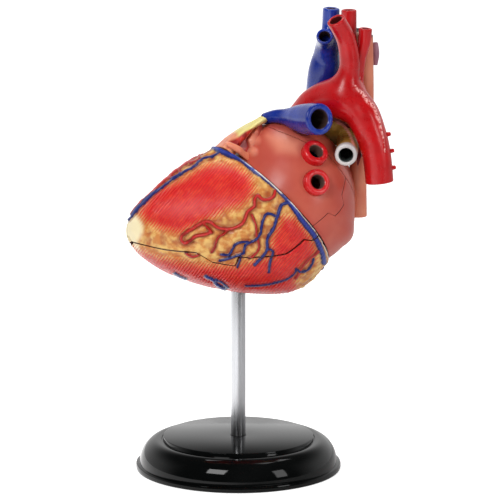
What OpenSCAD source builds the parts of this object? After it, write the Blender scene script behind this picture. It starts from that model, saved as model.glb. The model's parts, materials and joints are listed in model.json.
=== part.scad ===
// Take-apart teaching model of the human heart, held up by a rod on a round base.
// Millimetres. +Z is up, and the origin is the centre of the base's underside.
// +X is the heart's back, with its atria. -Y is its left side and +Y its right side.
// The heart leans on the rod, so its pieces are drawn in a frame of their own:
// x runs along the valve plate from front to back, y to the right, z from tip to atria.

/* [Stand] */
// Outer diameter of the base, at its lip
base_d = 90; // [80:1:110]
// Height of the base from the table to the raised disc
base_h = 14.5; // [13:0.5:20]
// Diameter of the raised disc on the base
disc_d = 66; // [50:1:70]
// Height of the raised disc above the dome round it
disc_h = 1.5; // [1:0.1:2]
// Height of the lip round the base
lip_h = 2.6; // [2:0.1:4]
// How far the lip stands out past the dome
lip_out = 1.7; // [1:0.1:3]
// Wall of the hollow base
base_wall = 2.6; // [2:0.1:3.5]
// Diameter of the stand rod
rod_d = 6.4; // [5:0.1:8]
// Depth of the rod's socket in the base
base_socket = 10; // [6:0.5:11]
// Height of the heart's underside above the table
heart_z = 79; // [75:1:100]
// Depth of the rod's socket in the heart
heart_socket = 14; // [10:0.5:16]
// Wall round each socket
socket_wall = 2.6; // [2:0.1:4]
// Gap between the rod and its sockets, all round
rod_fit = 0.05; // [0.03:0.01:0.1]

/* [Heart walls] */
// Wall of the ventricles
wall = 2.4; // [1.8:0.1:3]
// Wall of the atria
atrium_wall = 2; // [1.6:0.1:2.6]
// Thickness of the septa
septum_t = 3; // [2:0.1:4]
// Thickness of the plate that carries the valves
plate_t = 3; // [2.5:0.1:4]
// Gap left at each seam between wall pieces
seam = 0.2; // [0.1:0.05:0.4]

/* [Vessels] */
// Wall of the large vessels
vessel_wall = 1.8; // [1.2:0.1:2.4]
// Outer diameter of the aorta
aorta_d = 12.8; // [11:0.2:14]
// Outer diameter of the pulmonary arteries
pulmonary_d = 13.6; // [12:0.2:15]
// Outer diameter of the superior vena cava
cava_d = 13; // [11:0.2:14]
// Outer diameter of the oesophagus
oesophagus_d = 7; // [6:0.2:7.6]
// Outer diameter of the windpipe
windpipe_d = 8; // [7:0.2:9]
// Outer diameter of a pulmonary vein's stub
vein_d = 11.4; // [9:0.2:12]
// Bore of a pulmonary vein's stub
vein_bore = 6; // [4:0.2:8]
// How far a pulmonary vein's stub stands out
vein_out = 3; // [2:0.2:5]

/* [Valves] */
// Diameter of the mitral valve's ring
mitral_d = 20; // [16:0.5:21]
// Diameter of the tricuspid valve's ring
tricuspid_d = 22; // [18:0.5:23]
// Diameter of the aortic valve's ring
aortic_d = 14; // [12:0.2:14.6]
// Gap between a valve's ring and its hole in the plate
valve_fit = 0.05; // [0.02:0.01:0.1]

/* [Hidden] */
$fn = 48;

// ---- Frames. Heights from here on are above the heart's underside. ----
chord_turn = 46;     // how far the valve plate's length dips towards the back
side_turn = 21.8;    // how far the heart's length swings to the right
heart_centre = [13.7, 0, 38.1];
chord_axis = [cos(chord_turn), 0, -sin(chord_turn)];
lean_axis = [sin(chord_turn), 0, cos(chord_turn)];
right_axis = [0, cos(side_turn), 0] - sin(side_turn) * lean_axis;
length_axis = [0, sin(side_turn), 0] + cos(side_turn) * lean_axis;
function from_heart(p) = heart_centre + p.x * chord_axis + p.y * right_axis + p.z * length_axis;
module in_place() translate([0, 0, heart_z]) children();
module in_heart() in_place() translate(heart_centre)
    rotate([0, chord_turn, 0]) rotate([-side_turn, 0, 0]) children();

// ---- Sections, in the heart's frame. Each row holds the front point's x and z, the back
// point's x and z, the depths to the left and to the right, and the middle's y. ----
ventricle_rows = [
    [-35.3,   0.0,  35.0,   0.0, 32.0, 32.0, 0],
    [-38.0,  -9.0,  35.8, -10.0, 33.5, 32.5, 0],
    [-40.2, -19.0,  33.0, -19.5, 32.5, 31.0, 0],
    [-41.4, -29.0,  24.0, -29.8, 29.0, 27.0, 0],
    [-41.6, -38.0,   9.0, -41.5, 23.5, 21.5, 0],
    [-41.0, -46.0,  -9.0, -51.3, 16.0, 14.5, 0],
    [-39.0, -51.3, -23.5, -55.6,  8.5,  7.5, 0],
    [-36.3, -54.2, -30.5, -56.0,  3.0,  2.6, 0]];
atrium_rows = [
    [-24.5,   0.0,  34.2,   0.0, 30.5, 30.0, 0],
    [-27.0,   9.0,  35.4,   7.0, 31.0, 31.0, 0],
    [-28.5,  17.0,  34.8,  14.5, 30.2, 31.0, 0],
    [-26.4,  25.2,  30.0,  22.0, 27.2, 28.0, 0],
    [-20.6,  32.4,  22.8,  29.7, 21.8, 23.3, 0],
    [-11.2,  37.2,  13.8,  35.8, 13.3, 14.6, 0],
    [ -2.8,  38.7,   5.4,  38.4,  4.0,  4.5, 0],
    [  0.8,  39.1,   1.6,  39.1,  0.4,  0.4, 0]];
conus_rows = [
    [-35.4,   0.2, -26.0,   0.2, 13.0, 12.0, -3],
    [-37.0,   8.5, -28.5,   8.5, 12.0, 10.5, -4],
    [-35.5,  16.5, -29.8,  16.5,  9.0,  8.5, -6],
    [-32.5,  23.0, -27.6,  23.0,  5.5,  5.5, -7]];
ventricle_end = len(ventricle_rows) - 1;
atrium_end = len(atrium_rows) - 1;
conus_end = len(conus_rows) - 1;
// Sections at which the atria's roof starts, at angles from the front to either side. It
// dips at the front, under the pulmonary trunk.
roof_edge = [[0, 2.45], [35, 2.6], [50, 2.85], [60, 3.05], [70, 3.35], [80, 3.6], [180, 3.6]];
function roof_start(a) = lookup(a > 180 ? 360 - a : a, roof_edge);

// Angles of the seams, front 0, left 90, back 180, right 270, at sections of the rows above.
left_seam = [
    [0, 126], [0.5, 124], [0.75, 118], [1.75, 119], [3.25, 113],
    [3.5, 123], [4, 119], [4.25, 106], [7, 104]];
right_seam = [[0, 236], [7, 250]];
left_atrium_seam = [[0, 111], [1.25, 113], [1.5, 120], [2.5, 123], [2.75, 117], [4, 117]];
right_atrium_seam = [[0, 245], [4, 245]];

// ---- Vessels. Each row holds a point on the centre line and a share of the radius. ----
aorta_rows = [
    [each from_heart([-15, 3, 0.7]), 1],
    [each from_heart([-16, 4, 14]), 1],
    [18.5, 11.0, 66.5, 1.02],
    [27.0, 10.2, 74.4, 1.04],
    [34.4,  7.0, 81.8, 1.22],
    [44.0,  2.0, 85.2, 1.32],
    [52.2, -3.0, 80.6, 1.2],
    [57.0, -6.2, 71.5, 1.06],
    [59.8, -7.6, 61.5, 0.97],
    [60.9, -8.0, 50.3, 0.95]];
brachiocephalic_rows = [
    [44.6, -1.0,  85.0, 1.35],
    [46.7, -1.6,  92.5, 1.2],
    [48.0, -2.0, 101.0, 1.06],
    [46.4, -2.5, 111.3, 1],
    [42.0, -6.0, 120.2, 0.98]];
carotid_rows = [
    [46.2,  6.0,  86.0, 1.05],
    [47.8,  8.6,  94.0, 1],
    [48.0,  9.8, 103.0, 1],
    [47.9, 10.0, 122.0, 1]];
subclavian_rows = [
    [52.8, -2.0,  83.0, 1.1],
    [54.2,  1.4,  91.0, 1.02],
    [54.7,  2.9, 100.0, 1],
    [54.7,  3.0, 115.0, 1]];
pulmonary_rows = [
    [each from_heart([-29.5, -7, 24.6]), 0.36],
    [15.8,  0.0, 77.4, 0.42],
    [20.8, -3.2, 77.8, 0.54],
    [26.0, -7.8, 78.0, 0.85],
    [30.5, -13.2, 78.6, 1],
    [34.6, -20.0, 79.8, 1]];
right_pulmonary_rows = [
    [27.0, -7.0, 77.6, 1],
    [33.0,  0.5, 74.6, 1],
    [37.9,  8.4, 70.8, 1],
    [43.5, 15.6, 66.4, 1],
    [50.0, 23.0, 64.8, 1]];
cava_rows = [
    [33.0, 22.5,  55.0, 0.95],
    [35.0, 22.5,  66.0, 1],
    [36.4, 22.0,  76.0, 1.04],
    [36.8, 21.6,  86.0, 1.09],
    [37.6, 20.6,  95.0, 1.04],
    [38.8, 19.0, 103.5, 0.8],
    [39.9, 17.5, 111.0, 0.6],
    [40.4, 17.0, 121.5, 0.56]];
left_brachiocephalic_rows = [
    [38.4, 17.5, 103.0, 1.1],
    [37.6, 13.0, 108.0, 1],
    [37.4,  7.5, 111.1, 1]];
windpipe_rows = [
    [50.6, 18.0, 112.0, 1],
    [50.4, 17.8, 100.0, 1],
    [50.0, 16.8,  87.0, 1],
    [48.4, 14.2,  75.5, 1.05],
    [47.5,  6.4,  67.7, 1.08],
    [47.1, -4.0,  64.4, 1.16],
    [46.3, -16.5, 63.6, 1.2]];
right_bronchus_rows = [
    [50.0, 15.0, 76.0, 1],
    [52.6, 20.8, 74.8, 1],
    [54.8, 28.0, 73.0, 1]];
oesophagus_rows = [
    [55.6, 10.6, 110.9, 0.95],
    [55.6, 10.0,  84.0, 1],
    [55.6,  8.6,  57.0, 1],
    [53.8,  8.0,  32.5, 1.1]];
azygos_rows = [
    [59.5, 14.0, 107.0, 0.8],
    [59.7, 14.1, 102.5, 1],
    [59.5, 13.7,  98.0, 0.7]];
brachiocephalic_r = 4.1;
carotid_r = 3.3;
subclavian_r = 2.7;
right_pulmonary_r = 3.2;
left_brachiocephalic_r = 3.6;
azygos_r = 1.6;
small_wall = 1.1;    // wall of the smaller vessels

function unit(v) = v / norm(v);
function lookup_row(rows, k) = rows[max(0, min(len(rows) - 1, k))];
// A row between rows, on a smooth curve through them all.
function row_at(rows, s) =
    let(
        k = max(0, min(floor(s), len(rows) - 2)), f = s - k,
        a = lookup_row(rows, k - 1), b = lookup_row(rows, k),
        c = lookup_row(rows, k + 1), d = lookup_row(rows, k + 2))
    0.5 * (2 * b + (c - a) * f + (2 * a - 5 * b + 4 * c - d) * f * f + (3 * b - a - 3 * c + d) * f * f * f);
// A point on a body's surface, at an angle round a section.
function skin(rows, s, a) =
    let(r = row_at(rows, s), depth = sin(a) > 0 ? r[4] : r[5])
    [
        (r[0] + r[2] + (r[0] - r[2]) * cos(a)) / 2,
        r[6] - depth * sin(a),
        (r[1] + r[3] + (r[1] - r[3]) * cos(a)) / 2];
function middle(rows, s) = let(r = row_at(rows, s)) [(r[0] + r[2]) / 2, r[6], (r[1] + r[3]) / 2];
function outward(rows, s, a) =
    let(
        along = skin(rows, s + 0.02, a) - skin(rows, s - 0.02, a),
        across = skin(rows, s, a + 1) - skin(rows, s, a - 1),
        n = unit(cross(along, across)),
        away = skin(rows, s, a) - middle(rows, s))
    n * away < 0 ? -n : n;
function below_skin(rows, s, a, deep) = skin(rows, s, a) - deep * outward(rows, s, a);

// The angle that half a seam takes up at a section.
function half_seam(rows, s) = asin(seam / 2 / row_at(rows, s)[4]);

// Triangles over a grid of points, in sheets one after the other.
function pair(a, b, c, d) = [[a, b, c], [a, c, d]];
function turned(faces, back) = back ? [for (f = faces) [f[2], f[1], f[0]]] : faces;

// A closed slab between two grids of points, both with the same rows and columns.
module slab(top, bottom, back = false) {
    rows = len(top);
    cols = len(top[0]);
    function at(k, i, j) = (k * rows + i) * cols + j;
    points = [for (g = [top, bottom]) for (line = g) each line];
    faces = [
        for (i = [0 : rows - 2]) for (j = [0 : cols - 2]) each concat(
            pair(at(0, i, j), at(0, i, j + 1), at(0, i + 1, j + 1), at(0, i + 1, j)),
            pair(at(1, i, j), at(1, i + 1, j), at(1, i + 1, j + 1), at(1, i, j + 1))),
        for (i = [0 : rows - 2]) each concat(
            pair(at(0, i, 0), at(0, i + 1, 0), at(1, i + 1, 0), at(1, i, 0)),
            pair(at(0, i, cols - 1), at(1, i, cols - 1), at(1, i + 1, cols - 1), at(0, i + 1, cols - 1))),
        for (j = [0 : cols - 2]) each concat(
            pair(at(0, 0, j), at(1, 0, j), at(1, 0, j + 1), at(0, 0, j + 1)),
            pair(at(0, rows - 1, j), at(0, rows - 1, j + 1), at(1, rows - 1, j + 1), at(1, rows - 1, j)))];
    polyhedron(points, turned(faces, back));
}
// A piece of wall between two seams, which are functions of the section, and between a
// section and an edge, which is a function of the angle.
module wall_patch(rows, s0, s1, lo, hi, thick, along, round, edge = undef) {
    function last(a) = is_undef(edge) ? s1 : edge(a);
    grid = [for (deep = [0, thick]) [for (i = [0 : along]) let(u = i / along, s = s0 + (s1 - s0) * u)
        [for (j = [0 : round]) let(f = j / round, a = lo(s) * (1 - f) + hi(s) * f)
            below_skin(rows, s0 + (last(a) - s0) * u, a, deep)]]];
    slab(grid[0], grid[1], rows[1][1] > rows[0][1]);
}
// A lens-shaped lobe that lies on a wall.
module lobe(rows, s0, s1, a0, a1, swell, along = 8, round = 8) {
    function swell_at(u, w) = seam + 0.4 + swell * pow(sin(180 * u) * sin(180 * w), 0.7);
    grid = [for (k = [0, 1]) [for (i = [0 : along]) [for (j = [0 : round])
        let(u = i / along, w = j / round, up = k == 0 ? swell_at(u, w) : seam)
        below_skin(rows, s0 + (s1 - s0) * u, a0 + (a1 - a0) * w, -up)]]];
    slab(grid[0], grid[1], rows[1][1] > rows[0][1]);
}
// The whole space inside a body's surface, drawn in by some depth.
module solid_form(rows, s0, s1, deep, along = 12, round = 24) {
    n = round;
    points = [
        for (i = [0 : along]) for (j = [0 : n - 1])
            below_skin(rows, s0 + (s1 - s0) * i / along, 360 * j / n, deep),
        middle(rows, s0), middle(rows, s1)];
    last = (along + 1) * n;
    function at(i, j) = i * n + j % n;
    faces = [
        for (i = [0 : along - 1]) for (j = [0 : n - 1])
            each pair(at(i, j), at(i, j + 1), at(i + 1, j + 1), at(i + 1, j)),
        for (j = [0 : n - 1]) [last, at(0, j + 1), at(0, j)],
        for (j = [0 : n - 1]) [last + 1, at(along, j), at(along, j + 1)]];
    polyhedron(points, turned(faces, rows[1][1] > rows[0][1]));
}
// A round tube along a curve. With no bore it is solid.
module tube(rows, r, bore_wall, rings, up = [0, 1, 0], grow = 0, sides = 14) {
    function centre(s) = let(p = row_at(rows, s)) [p.x, p.y, p.z];
    function ring(i, thin) =
        let(
            s = (len(rows) - 1) * i / rings,
            t = unit(centre(s + 0.05) - centre(s - 0.05)),
            across = unit(cross(t, up)), over = cross(t, across),
            size = r * row_at(rows, s)[3] + grow - thin)
        [for (j = [0 : sides - 1])
            let(a = 360 * j / sides) centre(s) + size * (cos(a) * across + sin(a) * over)];
    hollow = bore_wall > 0;
    count = (rings + 1) * sides;
    points = [
        for (i = [0 : rings]) each ring(i, 0),
        if (hollow) for (i = [0 : rings]) each ring(i, bore_wall)];
    function at(k, i, j) = k * count + i * sides + j % sides;
    faces = [
        for (i = [0 : rings - 1]) for (j = [0 : sides - 1])
            each pair(at(0, i, j), at(0, i + 1, j), at(0, i + 1, j + 1), at(0, i, j + 1)),
        if (hollow) for (i = [0 : rings - 1]) for (j = [0 : sides - 1])
            each pair(at(1, i, j), at(1, i, j + 1), at(1, i + 1, j + 1), at(1, i + 1, j)),
        if (hollow) for (j = [0 : sides - 1]) each concat(
            pair(at(0, 0, j), at(0, 0, j + 1), at(1, 0, j + 1), at(1, 0, j)),
            pair(at(0, rings, j), at(1, rings, j), at(1, rings, j + 1), at(0, rings, j + 1))),
        if (!hollow) each [for (j = [1 : sides - 2]) each [
            [at(0, 0, 0), at(0, 0, j), at(0, 0, j + 1)],
            [at(0, rings, 0), at(0, rings, j + 1), at(0, rings, j)]]]];
    polyhedron(points, faces);
}
aorta_rings = 27;
pulmonary_rings = 13;
cava_rings = 18;
windpipe_rings = 21;
module aorta_form(grow) tube(aorta_rows, aorta_d / 2, 0, aorta_rings, grow = grow);
module right_pulmonary_form(grow)
    tube(right_pulmonary_rows, right_pulmonary_r, 0, 10, [0, 0, 1], grow, sides = 12);
module pulmonary_form(grow) tube(pulmonary_rows, pulmonary_d / 2, 0, pulmonary_rings, [0, 0, 1], grow);
module cava_form(grow) tube(cava_rows, cava_d / 2, 0, cava_rings, grow = grow);
module windpipe_form(grow) tube(windpipe_rows, windpipe_d / 2, 0, windpipe_rings, [1, 0, 0], grow);

// Turns z to a direction and moves to a point.
module facing(point, dir) translate(point)
    rotate([0, acos(dir.z / norm(dir)), atan2(dir.y, dir.x)]) children();
// A point and a direction on a body's surface, as a frame for what stands on it.
module on_skin(rows, s, a) facing(skin(rows, s, a), outward(rows, s, a)) children();

// ---- The stand ----
plate_floor_h = 1.6; // thickness of the cover under the base
floor_fit = 0.1;     // gap round that cover
edge_r = 0.6;        // rounding of the lip's edges
shoulder = 2.4;      // flat left between the disc and the dome's arc
dome_r = base_d / 2 - lip_out;
hollow_r = dome_r - base_wall;
base_boss_d = rod_d + 2 * (rod_fit + socket_wall);

module stand_base() {
    dome_top = base_h - disc_h;
    shoulder_r = disc_d / 2 + shoulder;
    color([0.03, 0.03, 0.035]) difference() {
        rotate_extrude($fn = 96) polygon([
            [0, 0], [base_d / 2 - edge_r, 0], [base_d / 2, edge_r], [base_d / 2, lip_h - edge_r],
            [base_d / 2 - edge_r, lip_h], [dome_r, lip_h],
            for (a = [10 : 10 : 90])
                [shoulder_r + (dome_r - shoulder_r) * cos(a), lip_h + (dome_top - lip_h) * sin(a)],
            [disc_d / 2, dome_top], [disc_d / 2, base_h - edge_r],
            [disc_d / 2 - edge_r, base_h], [0, base_h]]);
        // The hollow, which leaves the boss that holds the rod.
        difference() {
            union() {
                translate([0, 0, -1]) cylinder(r = hollow_r, h = lip_h + 1);
                translate([0, 0, -1]) cylinder(r = shoulder_r - base_wall, h = dome_top - base_wall + 1);
            }
            translate([0, 0, plate_floor_h + floor_fit]) cylinder(d = base_boss_d, h = base_h);
        }
        translate([0, 0, base_h - base_socket]) cylinder(d = rod_d + 2 * rod_fit, h = base_socket + 1);
    }
}
module base_floor() {
    color([0.05, 0.05, 0.055]) cylinder(r = hollow_r - floor_fit, h = plate_floor_h, $fn = 96);
}
module stand_rod() {
    bottom = base_h - base_socket;
    top = heart_z + heart_socket;
    chamfer = 0.5;
    color([0.75, 0.76, 0.78]) rotate_extrude() polygon([
        [0, bottom], [rod_d / 2 - chamfer, bottom], [rod_d / 2, bottom + chamfer],
        [rod_d / 2, top - chamfer], [rod_d / 2 - chamfer, top], [0, top]]);
}

// ---- Posts on the outer walls, with pins that sit in holes in the septa ----
post_d = 5;
pin_d = 3;
pin_l = 1.2;         // how far a pin goes into its hole
pin_fit = 0.08;
post_gap = 0.7;      // gap between a post's end and the septum
post_reach = 40;     // more than any post needs, as the wall trims it
septum_y = -2;       // where the ventricles' septum meets the walls
septum_bulge = 4;    // how far its middle swells to the right
septum_inset = wall + 0.8;
// A point in the middle of the ventricles' septum, at a section and a share of its width.
function septum_point(s, f) =
    below_skin(ventricle_rows, s, 0, septum_inset) * (1 - f)
    + below_skin(ventricle_rows, s, 180, septum_inset) * f
    + [0, septum_y + septum_bulge * sin(180 * f), 0];
ventricle_posts = [septum_point(1.6, 0.12), septum_point(4.2, 0.45)];
atrium_posts = [[-6, 0, 12], [10, 0, 8]];

// Posts along y from a septum's face out to a wall, on the left (-1) or the right (1).
module posts(places, side, reach) {
    for (p = places) translate(p + [0, side * (septum_t / 2 + post_gap), 0]) rotate([side * -90, 0, 0]) {
        cylinder(d = post_d, h = reach);
        translate([0, 0, -pin_l - post_gap]) cylinder(d = pin_d, h = pin_l + post_gap + 1);
    }
}
module pin_holes(places) {
    for (p = places) translate(p) rotate([90, 0, 0])
        cylinder(d = pin_d + 2 * pin_fit, h = 4 * septum_t, center = true);
}

// ---- The ventricles ----
front_left = 0;      // the seam at the front of the heart, from either side
front_right = 360;
module ventricle_panel(lo, hi, round) {
    along = 4 * ventricle_end;   // four rows to a section, so that the stepped seam shows
    wall_patch(ventricle_rows, 0, ventricle_end, lo, hi, wall, along, round);
}
module left_ventricle_wall() {
    color([0.83, 0.24, 0.17]) in_heart() {
        ventricle_panel(function(s) front_left + half_seam(ventricle_rows, s),
            function(s) lookup(s, left_seam) - half_seam(ventricle_rows, s), 10);
        intersection() {
            posts(ventricle_posts, -1, post_reach);
            solid_form(ventricle_rows, 0, ventricle_end, wall / 2);
        }
    }
}
module right_ventricle_wall() {
    color([0.80, 0.26, 0.20]) in_heart() {
        ventricle_panel(function(s) lookup(s, right_seam) + half_seam(ventricle_rows, s),
            function(s) front_right - half_seam(ventricle_rows, s), 8);
        intersection() {
            posts(ventricle_posts, 1, post_reach);
            solid_form(ventricle_rows, 0, ventricle_end, wall / 2);
        }
    }
}
module inferior_wall() {
    color([0.80, 0.22, 0.18]) difference() {
        union() {
            in_heart() ventricle_panel(
                function(s) lookup(s, left_seam) + half_seam(ventricle_rows, s),
                function(s) lookup(s, right_seam) - half_seam(ventricle_rows, s), 8);
            in_place() cylinder(d = rod_d + 2 * (rod_fit + socket_wall), h = heart_socket + socket_wall);
        }
        in_place() translate([0, 0, -5])
            cylinder(d = rod_d + 2 * rod_fit, h = heart_socket + 5 + 2 * rod_fit);
    }
}
module ventricular_septum() {
    first = 0.55;
    last = 5.4;
    along = 12;
    across = 10;
    grid = [for (side = [-1, 1]) [for (i = [0 : along]) [for (j = [0 : across])
        septum_point(first + (last - first) * i / along, j / across) + [0, side * septum_t / 2, 0]]]];
    color([0.78, 0.30, 0.24]) in_heart() difference() {
        slab(grid[0], grid[1]);
        pin_holes(ventricle_posts);
    }
}

// ---- The valve plate and its valves. Each valve's place is an x and a y on the plate. ----
mitral_at = [8, -15.5];
tricuspid_at = [8, 14.5];
aortic_at = [-15, 3];
flange = 1;          // how far a valve's ring reaches over the plate
flange_t = 0.8;
ring_wall = 1.6;
leaflet_t = 0.7;
leaflet_gap = 8;     // angle left open between the aortic valve's cusps
slit_w = 0.8;        // gap between leaflets
plate_top = -seam / 2;
module on_plate(at) in_heart() translate([at.x, at.y, plate_top]) children();
module valve_hole(at, d) translate([at.x, at.y, -1]) cylinder(d = d + 2 * valve_fit, h = plate_t + 2);
module valve_plate() {
    edge = wall + 0.6;
    outline = [for (a = [0 : 5 : 355]) let(p = skin(ventricle_rows, 0, a), out = unit([p.x, p.y]))
        [p.x - edge * out.x, p.y - edge * out.y]];
    color([0.90, 0.72, 0.55]) in_heart() translate([0, 0, plate_top - plate_t]) difference() {
        linear_extrude(plate_t) polygon(outline);
        valve_hole(mitral_at, mitral_d);
        valve_hole(tricuspid_at, tricuspid_d);
        valve_hole(aortic_at, aortic_d);
    }
}
// A ring that sits in its hole, with leaflets that hang from it and draw in to a mouth.
module valve(d, leaflets, drop, tip_r) {
    inner = d / 2 - ring_wall;
    translate([0, 0, -plate_t]) difference() {
        rotate_extrude() polygon([
            [inner, plate_t + flange_t], [d / 2 + flange, plate_t + flange_t], [d / 2 + flange, plate_t],
            [d / 2, plate_t], [d / 2, 0], [inner, 0], [tip_r + leaflet_t, -drop], [tip_r, -drop],
            [inner - leaflet_t, 0], [inner - leaflet_t, leaflet_t], [inner, 1.4 * leaflet_t]]);
        for (k = [0 : leaflets - 1]) rotate(360 * k / leaflets)
            translate([0, -slit_w / 2, -drop - 1]) cube([d / 2, slit_w, drop + 1 - 0.3]);
    }
}
mitral_drop = 9;
tricuspid_drop = 9;
module mitral_valve() {
    color([0.95, 0.88, 0.75]) on_plate(mitral_at) rotate(30) valve(mitral_d, 2, mitral_drop, 4);
}
module tricuspid_valve() {
    color([0.95, 0.88, 0.75]) on_plate(tricuspid_at) valve(tricuspid_d, 3, tricuspid_drop, 4.5);
}
module aortic_valve() {
    // The aorta's root stands on the ring, so its cusps lie within the plate's thickness.
    inner = aortic_d / 2 - ring_wall;
    color([0.95, 0.88, 0.75]) on_plate(aortic_at) translate([0, 0, -plate_t]) {
        difference() {
            cylinder(d = aortic_d, h = plate_t);
            translate([0, 0, -1]) cylinder(r = inner, h = plate_t + 2);
        }
        for (k = [0 : 2]) rotate(120 * k + leaflet_gap / 2) rotate_extrude(angle = 120 - leaflet_gap)
            polygon([
                [inner + 0.4, 0.2], [inner + 0.4, 1], [1.2, plate_t - 0.3],
                [0.7, plate_t - 0.9], [inner - 1, 0.2]]);
    }
}

// ---- Papillary muscles, each with its cords up to a leaflet's edge. A muscle stands at
// a section and an angle of the ventricles' wall. ----
cord_d = 0.9;
cord_gap = 0.6;      // gap under the leaflet's edge
function along_to(a, b, f) = a * (1 - f) + b * f;
module papillary(s, a, valve_at, drop, tip_r, foot_r, turn) {
    foot = below_skin(ventricle_rows, s, a, wall + 0.3 + foot_r);
    goal = [valve_at.x, valve_at.y, plate_top - plate_t - drop - cord_gap];
    top = along_to(foot, goal, 0.55);
    facing(foot, top - foot) rotate_extrude() polygon([
        for (b = [-90 : 15 : 0]) foot_r * [cos(b), sin(b)],
        [0.5 * foot_r, norm(top - foot) - 0.8], [0.2 * foot_r, norm(top - foot)], [0, norm(top - foot)]]);
    from = along_to(foot, top, 0.9);
    for (k = [-1 : 1]) let(b = turn + 28 * k, tip = goal + [tip_r * cos(b), tip_r * sin(b), 0])
        facing(from, tip - from) cylinder(d = cord_d, h = norm(tip - from));
}
module mitral_papillary_muscles() {
    color([0.85, 0.35, 0.28]) in_heart() {
        papillary(3.0, 150, mitral_at, mitral_drop, 4.3, 3, -30);
        papillary(2.6, 128, mitral_at, mitral_drop, 4.3, 2.8, -120);
    }
}
module tricuspid_papillary_muscles() {
    color([0.85, 0.35, 0.28]) in_heart() {
        papillary(1.2, 212, tricuspid_at, tricuspid_drop, 4.8, 2.6, -10);
        papillary(2.0, 237, tricuspid_at, tricuspid_drop, 4.8, 2.6, 80);
    }
}

// ---- The conus on the right ventricle, under the pulmonary trunk ----
conus_top = conus_rows[conus_end][1];
past = 0.05;         // how far past a body's ends its hollow runs, in sections
module pulmonary_conus() {
    color([0.88, 0.80, 0.45]) in_heart() difference() {
        solid_form(conus_rows, 0, conus_end, 0, 10, 20);
        solid_form(conus_rows, -past, conus_end + past, vessel_wall, 8, 16);
    }
}

// ---- The atria ----
roof_fit = 0.4;      // gap round the vessels where the roof makes room for them
row_h = 8;           // how far apart the atria's sections lie, about
atrium_start = seam / row_h;
half_gap = seam / 2 / row_h;
roof_gap = 0.5;      // gap between the roof and the seam's middle
module atrium_panel(lo, hi, along) {
    wall_patch(atrium_rows, atrium_start, 3.8, lo, hi, atrium_wall, along, 12,
        function(a) roof_start(a) - half_gap);
}
upper_vein = [2.9, 75.2];
lower_vein = [1.75, 89.3];
right_upper_vein = [2.9, 214];
right_lower_vein = [1.7, 208];
module vein_hole(at) on_skin(atrium_rows, at[0], at[1])
    cylinder(d = vein_d + 2 * valve_fit, h = 3 * atrium_wall, center = true);
// A short tube with a rounded lip, which goes through the wall.
module vein_stub(at, d, bore, out, lip = 1) {
    on_skin(atrium_rows, at[0], at[1]) rotate_extrude() polygon([
        [bore / 2, -atrium_wall - 0.6], [d / 2, -atrium_wall - 0.6],
        for (a = [0 : 15 : 180])
            [(d + bore) / 4 + (d - bore) / 4 * cos(a), out - lip + lip * sin(a)]]);
}
module left_atrium_wall() {
    color([0.86, 0.45, 0.36]) in_heart() {
        difference() {
            atrium_panel(function(s) half_seam(atrium_rows, s),
                function(s) lookup(s, left_atrium_seam) - half_seam(atrium_rows, s), 15);
            vein_hole(upper_vein);
            vein_hole(lower_vein);
        }
        intersection() {
            posts(atrium_posts, -1, post_reach);
            solid_form(atrium_rows, 0, atrium_end, atrium_wall / 2);
        }
    }
}
module right_atrium_wall() {
    color([0.84, 0.42, 0.36]) in_heart() {
        atrium_panel(function(s) lookup(s, right_atrium_seam) + half_seam(atrium_rows, s),
            function(s) 360 - half_seam(atrium_rows, s), 15);
        intersection() {
            posts(atrium_posts, 1, post_reach);
            solid_form(atrium_rows, 0, atrium_end, atrium_wall / 2);
        }
    }
}
cava_inlet = [1.1, 232];   // where the inferior vena cava comes in
inferior_cava_d = 12;
inferior_cava_out = 6;
module atrial_back_wall() {
    color([0.86, 0.45, 0.36]) in_heart() difference() {
        atrium_panel(function(s) lookup(s, left_atrium_seam) + half_seam(atrium_rows, s),
            function(s) lookup(s, right_atrium_seam) - half_seam(atrium_rows, s), 15);
        vein_hole(right_upper_vein);
        vein_hole(right_lower_vein);
        on_skin(atrium_rows, cava_inlet[0], cava_inlet[1])
            cylinder(d = inferior_cava_d + 2 * valve_fit, h = 4 * atrium_wall, center = true);
    }
}
module atrial_septum() {
    lift = 0.2;
    ceiling = 24.5;
    front_x = -8.7;
    inset = atrium_wall + 0.8;
    back = [for (i = [0 : 8]) let(p = below_skin(atrium_rows, 0.35 + 2.6 * i / 8, 180, inset)) [p.x, p.z]];
    outline = [[front_x, lift], [back[0].x, lift], each back, [back[8].x - 5, ceiling], [front_x, ceiling]];
    color([0.84, 0.50, 0.42]) in_heart() difference() {
        translate([0, septum_t / 2, 0]) rotate([90, 0, 0]) linear_extrude(septum_t) polygon(outline);
        pin_holes(atrium_posts);
    }
}
module atrial_roof() {
    slit = 0.2;      // angle left open under the aorta
    along = 8;
    round = 30;
    grid = [for (deep = [0, atrium_wall]) [for (i = [0 : along]) [for (j = [0 : round])
        let(a = slit + (360 - 2 * slit) * j / round, s0 = roof_start(a) + roof_gap / row_h)
        below_skin(atrium_rows, s0 + (atrium_end - s0) * i / along, a, deep)]]];
    color([0.86, 0.45, 0.36]) difference() {
        in_heart() difference() {
            slab(grid[0], grid[1], true);
            on_skin(atrium_rows, upper_vein[0], upper_vein[1])
                cylinder(d = vein_d + 2 * roof_fit, h = 30, center = true);
        }
        in_place() {
            aorta_form(roof_fit);
            pulmonary_form(roof_fit);
            windpipe_form(roof_fit);
            right_pulmonary_form(roof_fit);
        }
    }
}
module left_auricle() {
    color([0.93, 0.60, 0.48]) in_heart() lobe(atrium_rows, 0.15, 1.5, 8, 34, 1.6);
}
module right_auricle() {
    color([0.90, 0.50, 0.42]) in_heart() lobe(atrium_rows, 0.2, 2.3, 300, 348, 4);
}
module left_upper_pulmonary_vein() {
    color([0.78, 0.08, 0.10]) in_heart() vein_stub(upper_vein, vein_d, vein_bore, vein_out);
}
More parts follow.
